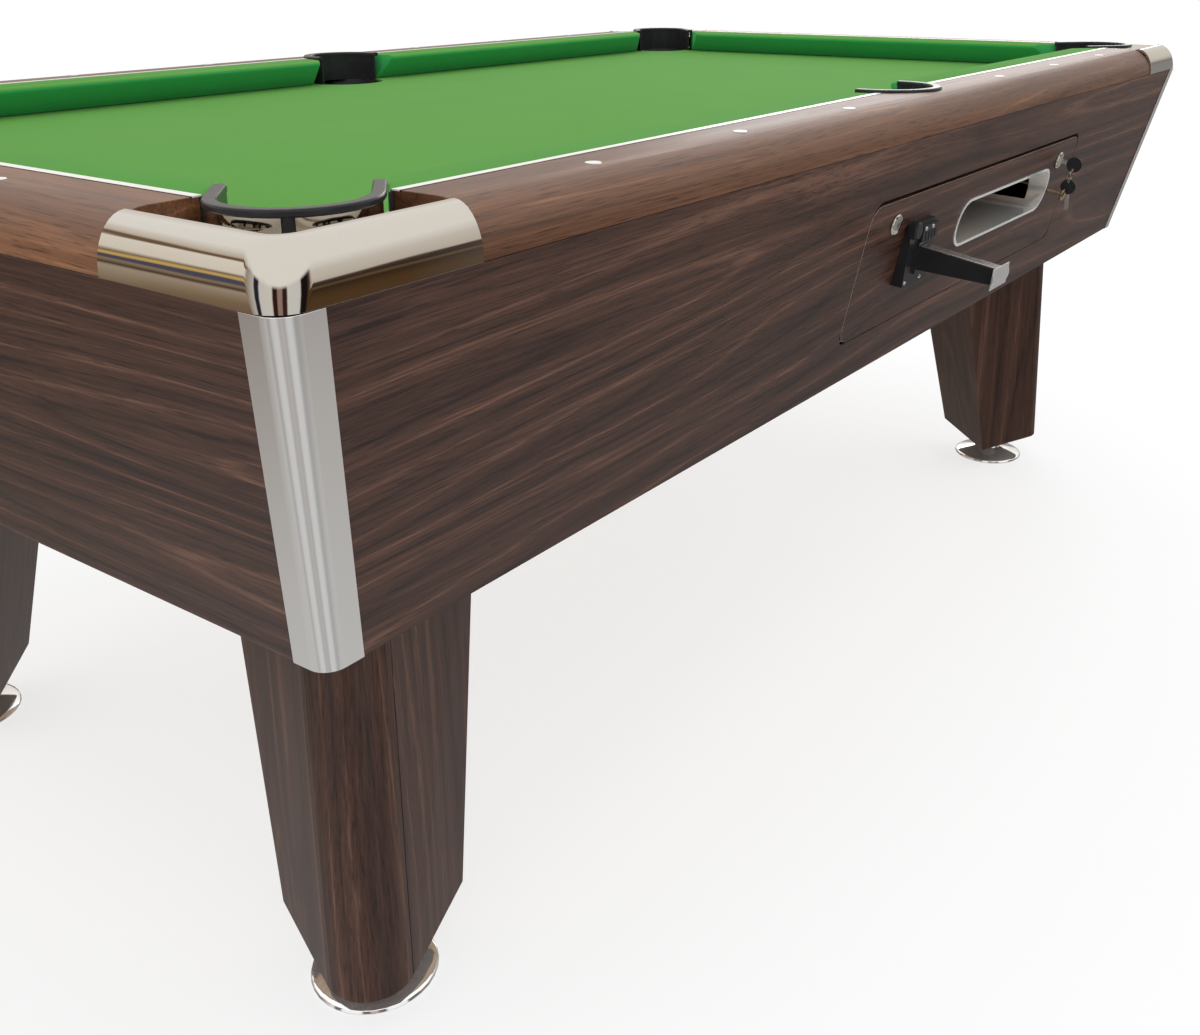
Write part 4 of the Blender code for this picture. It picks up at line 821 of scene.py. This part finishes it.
def swell_corner(shape):
    """Lets the cap's rounded corner swell towards its lower edge, to cover the trim below.

    The corner's radius goes from the foot's at the height SWELL_FROM to the cap's own at the top.
    """
    for vert in shape.verts:
        end_x = math.copysign(1, vert.co.x)
        end_y = math.copysign(1, vert.co.y - TABLE_MIDDLE_Y)
        across = CAP_RADIUS - HALF_LENGTH + abs(vert.co.x)
        along = CAP_RADIUS - HALF_WIDTH + abs(vert.co.y - TABLE_MIDDLE_Y)
        reach = math.hypot(across, along)
        inset = CAP_RADIUS - reach
        if min(across, along) < PAST_CORNER or inset > SKIN_DEPTH:
            continue
        rise = max(0.0, min(1.0, (vert.co.z - SWELL_FROM) / (RAIL_TOP - SWELL_FROM)))
        radius = CAP_FOOT_RADIUS + (CAP_RADIUS - CAP_FOOT_RADIUS) * rise**SWELL_POWER
        grown = (radius - inset) / reach
        vert.co.x = end_x * (HALF_LENGTH - radius + across * grown)
        vert.co.y = TABLE_MIDDLE_Y + end_y * (HALF_WIDTH - radius + along * grown)


cap_chrome = mirror_chrome("cap chrome", CHROME_COLOUR, 0.045)
for corner in CORNERS:
    node = "corner_cap_" + corner
    shape = merged_copy(node)
    swell_corner(shape)
    cap = place_piece(node + "_finished", shape, cap_chrome, node_body(node))
    ease_edges(cap, 0.0006)
    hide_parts(node)

# Pockets. Collars and liners moulded in one in black plastic, lightly grained, standing on the
# slate and, at the corners, on a small post in the cap's well.
POCKET_BLACK = (0.016, 0.016, 0.018)
POCKET_EDGE = 0.0010
WORN_GAIN = 1.9


def moulded_black(name, colour, roughness, grain):
    """Black moulding or enamel with a fine grain and worn, paler high spots."""
    made, tree, shader = new_finish(name)
    way = object_way(tree)
    fine = noise(tree, way, Scale=grain, Detail=2.0)
    clouds = noise(tree, way, Scale=35.0, Detail=3.0)
    worn = [value * WORN_GAIN for value in colour]
    tree.links.new(toned(tree, clouds, ((0.0, colour), (1.0, worn))), shader.inputs["Base Color"])
    dullness = ranged(tree, clouds, results=(roughness * 0.8, roughness * 1.25))
    tree.links.new(dullness, shader.inputs["Roughness"])
    bumped(tree, shader, fine, 0.12, 0.0002)
    shader.inputs["Specular IOR Level"].default_value = 0.22
    return made


pocket_moulding = moulded_black("pocket moulding", POCKET_BLACK, 0.27, 900.0)
for corner in CORNERS:
    dressed("corner_pocket_" + corner, pocket_moulding, POCKET_EDGE, 3)
for side in ("front", "back"):
    dressed("middle_pocket_" + side, pocket_moulding, POCKET_EDGE, 3)

# Legs. Three-sided boxes in the same laminate with the grain upright: one sheet wraps the round
# nose and the end face, and a separate board closes the long side at the seam.
LEG_GAIN = (0.92, 0.97, 1.06)
leg_board = walnut("walnut up the legs", ALONG_Z, (0.4, 2.2, 1.3), LEG_GAIN, 1.0)
for corner in CORNERS:
    dressed("leg_" + corner, leg_board, 0.0006)

# Levelling feet. Pressed steel discs on threaded necks, chromed and a little dulled by wear, that
# screw up into the legs.
FOOT_COLOUR = (0.93, 0.92, 0.91)
FOOT_GRAIN = (60.0, 60.0, 60.0)
foot_chrome = drawn_metal("foot chrome", FOOT_COLOUR, 0.08, FOOT_GRAIN, 0.01, 0.82)
for corner in CORNERS:
    dressed("levelling_foot_" + corner, foot_chrome, 0.0005)

# Coin door. A leaf of the same board as the side whose eased edges are pale all round, partly edge
# banding and partly a painted highlight of the lit edge, and the ball window let into it: a
# pressed and polished steel tray whose rim stands on the face.
EDGE_BAND_AND_HIGHLIGHT_DARK = (0.22, 0.19, 0.17)
EDGE_BAND_AND_HIGHLIGHT_LIGHT = (0.58, 0.54, 0.50)
TRAY_COLOUR = (0.90, 0.90, 0.89)
TRAY_LINES = (6.0, 300.0, 300.0)
# Painted highlight, partly: the pale rim on the door's eased edges also stands for edge banding.
door_edge_band_and_highlight = speckled("pale door edge band, painted highlight", EDGE_BAND_AND_HIGHLIGHT_DARK, EDGE_BAND_AND_HIGHLIGHT_LIGHT, 240.0, 2.0, 0.45)
dressed("coin_door", long_board, 0.0018, edge_finish=door_edge_band_and_highlight)
tray_steel = drawn_metal("tray steel", TRAY_COLOUR, 0.12, TRAY_LINES, 0.02, 0.66)
dressed("ball_tray", tray_steel, 0.0004)

# Locks and keys. Chromed cam locks with a turning plug, and two keys on a split ring, one of them
# left in the right-hand lock; the keys are steel with moulded grips.
BOW_REACH = 0.0125
KEY_BOWS = {"lock_key": (0.486, -0.5663, 0.6545), "spare_key": (0.486, -0.5607, 0.6196)}
KEY_COLOUR = (0.62, 0.61, 0.58)
KEY_LINES = (200.0, 40.0, 40.0)
GRIP_BLACK = (0.012, 0.012, 0.013)
lock_chrome = mirror_chrome("lock chrome", CHROME_COLOUR, 0.08)
for side in ("left", "right"):
    dressed(side + "_lock_barrel", lock_chrome, 0.0003)
    dressed(side + "_lock_plug", lock_chrome, 0.0002)
key_steel = drawn_metal("key steel", KEY_COLOUR, 0.28, KEY_LINES, 0.03)
key_grip = moulded_black("key grip", GRIP_BLACK, 0.38, 900.0)
for node, bow in KEY_BOWS.items():
    key = dressed(node, key_steel, 0.0002)
    key.data.materials.append(key_grip)
    for polygon in key.data.polygons:
        if (polygon.center - Vector(bow)).length < BOW_REACH:
            polygon.material_index = 1
dressed("key_ring", lock_chrome, 0)

# Release knob. A turned brass pull with dark plating, on a stem that slides through the coin door.
# The lines that turning leaves run round it.
KNOB_COLOUR = (0.42, 0.34, 0.23)
KNOB_LINES = (60.0, 400.0, 60.0)
knob_brass = drawn_metal("dark plated brass", KNOB_COLOUR, 0.25, KNOB_LINES, 0.03)
dressed("release_knob", knob_brass, 0.0003)

# Coin mechanism. A black enamelled housing screwed to the door, a black slide with a steel strip
# that carries the coins, and a chromed push plate.
ENAMEL_BLACK = (0.010, 0.010, 0.011)
STRIP_COLOUR = (0.60, 0.60, 0.60)
STRIP_LINES = (600.0, 6.0, 600.0)
PLATE_COLOUR = (0.74, 0.74, 0.73)
PLATE_LINES = (300.0, 40.0, 40.0)
MECH_EDGE = 0.0006
MECH_PLACE = (-0.049, -0.5295, 0.6084)
MECH_TILT = math.radians(6.5)
SCREW_RADIUS = 0.0027
SCREW_RISE = 0.0013
SCREW_TAPER = 0.82
SCREW_SIDES = 16
RECESS_RIM = SCREW_RADIUS * 0.4
RECESS_DEPTH = SCREW_RISE * 0.6
SCREW_RINGS = (
    (SCREW_RADIUS, 0.0),
    (SCREW_RADIUS * SCREW_TAPER, SCREW_RISE),
    (SCREW_RADIUS * SCREW_TAPER - RECESS_RIM, SCREW_RISE - RECESS_DEPTH),
)
SCREWS = (
    (-0.005, -0.0170, 0.0375),
    (0.016, -0.0170, 0.0375),
    (-0.033, -0.0120, -0.0295),
    (0.012, -0.0120, -0.0295),
)
mech_frame = Matrix.Translation(MECH_PLACE) @ Matrix.Rotation(MECH_TILT, 4, "X")
facing_out = Matrix.Rotation(math.radians(90), 4, "X")


def screw_head(shape, place):
    """A pan head with a round recess, facing out along the mechanism's -Y."""
    seat = mech_frame @ Matrix.Translation(place) @ facing_out
    turns = [math.tau * side / SCREW_SIDES for side in range(SCREW_SIDES)]
    rings = []
    for radius, rise in SCREW_RINGS:
        spots = [(-radius * math.sin(turn), radius * math.cos(turn), rise) for turn in turns]
        rings.append([shape.verts.new(seat @ Vector(spot)) for spot in spots])
    shape.faces.new(rings[0])
    shape.faces.new(rings[-1])
    for lower, upper in zip(rings, rings[1:]):
        for side in range(SCREW_SIDES):
            shape.faces.new((lower[side - 1], lower[side], upper[side], upper[side - 1]))


shape = bmesh.new()
for place in SCREWS:
    screw_head(shape, place)
bmesh.ops.recalc_face_normals(shape, faces=shape.faces)
place_piece("mech_screws", shape, lock_chrome, "coin_door")
mech_black = moulded_black("black enamel", ENAMEL_BLACK, 0.30, 500.0)
dressed("coin_housing", mech_black, MECH_EDGE)
dressed("coin_slide", mech_black, MECH_EDGE)
strip_steel = drawn_metal("strip steel", STRIP_COLOUR, 0.26, STRIP_LINES, 0.04)
dressed("coin_strip", strip_steel, 0.0003)
plate_chrome = drawn_metal("push plate", PLATE_COLOUR, 0.20, PLATE_LINES, 0.02, 0.8)
dressed("push_plate", plate_chrome, MECH_EDGE)

# Trap and cash box. The trap is a satin metal flap that turns on a pin in the front run, and the
# box is folded from sheet steel and stands on the base board behind the coin mechanism.
BOX_COLOUR = (0.52, 0.52, 0.51)
BOX_LINES = (8.0, 500.0, 500.0)
box_steel = drawn_metal("folded steel", BOX_COLOUR, 0.34, BOX_LINES, 0.04)
dressed("ball_trap", satin_trim, 0.0004)
dressed("cash_box", box_steel, 0.0004)
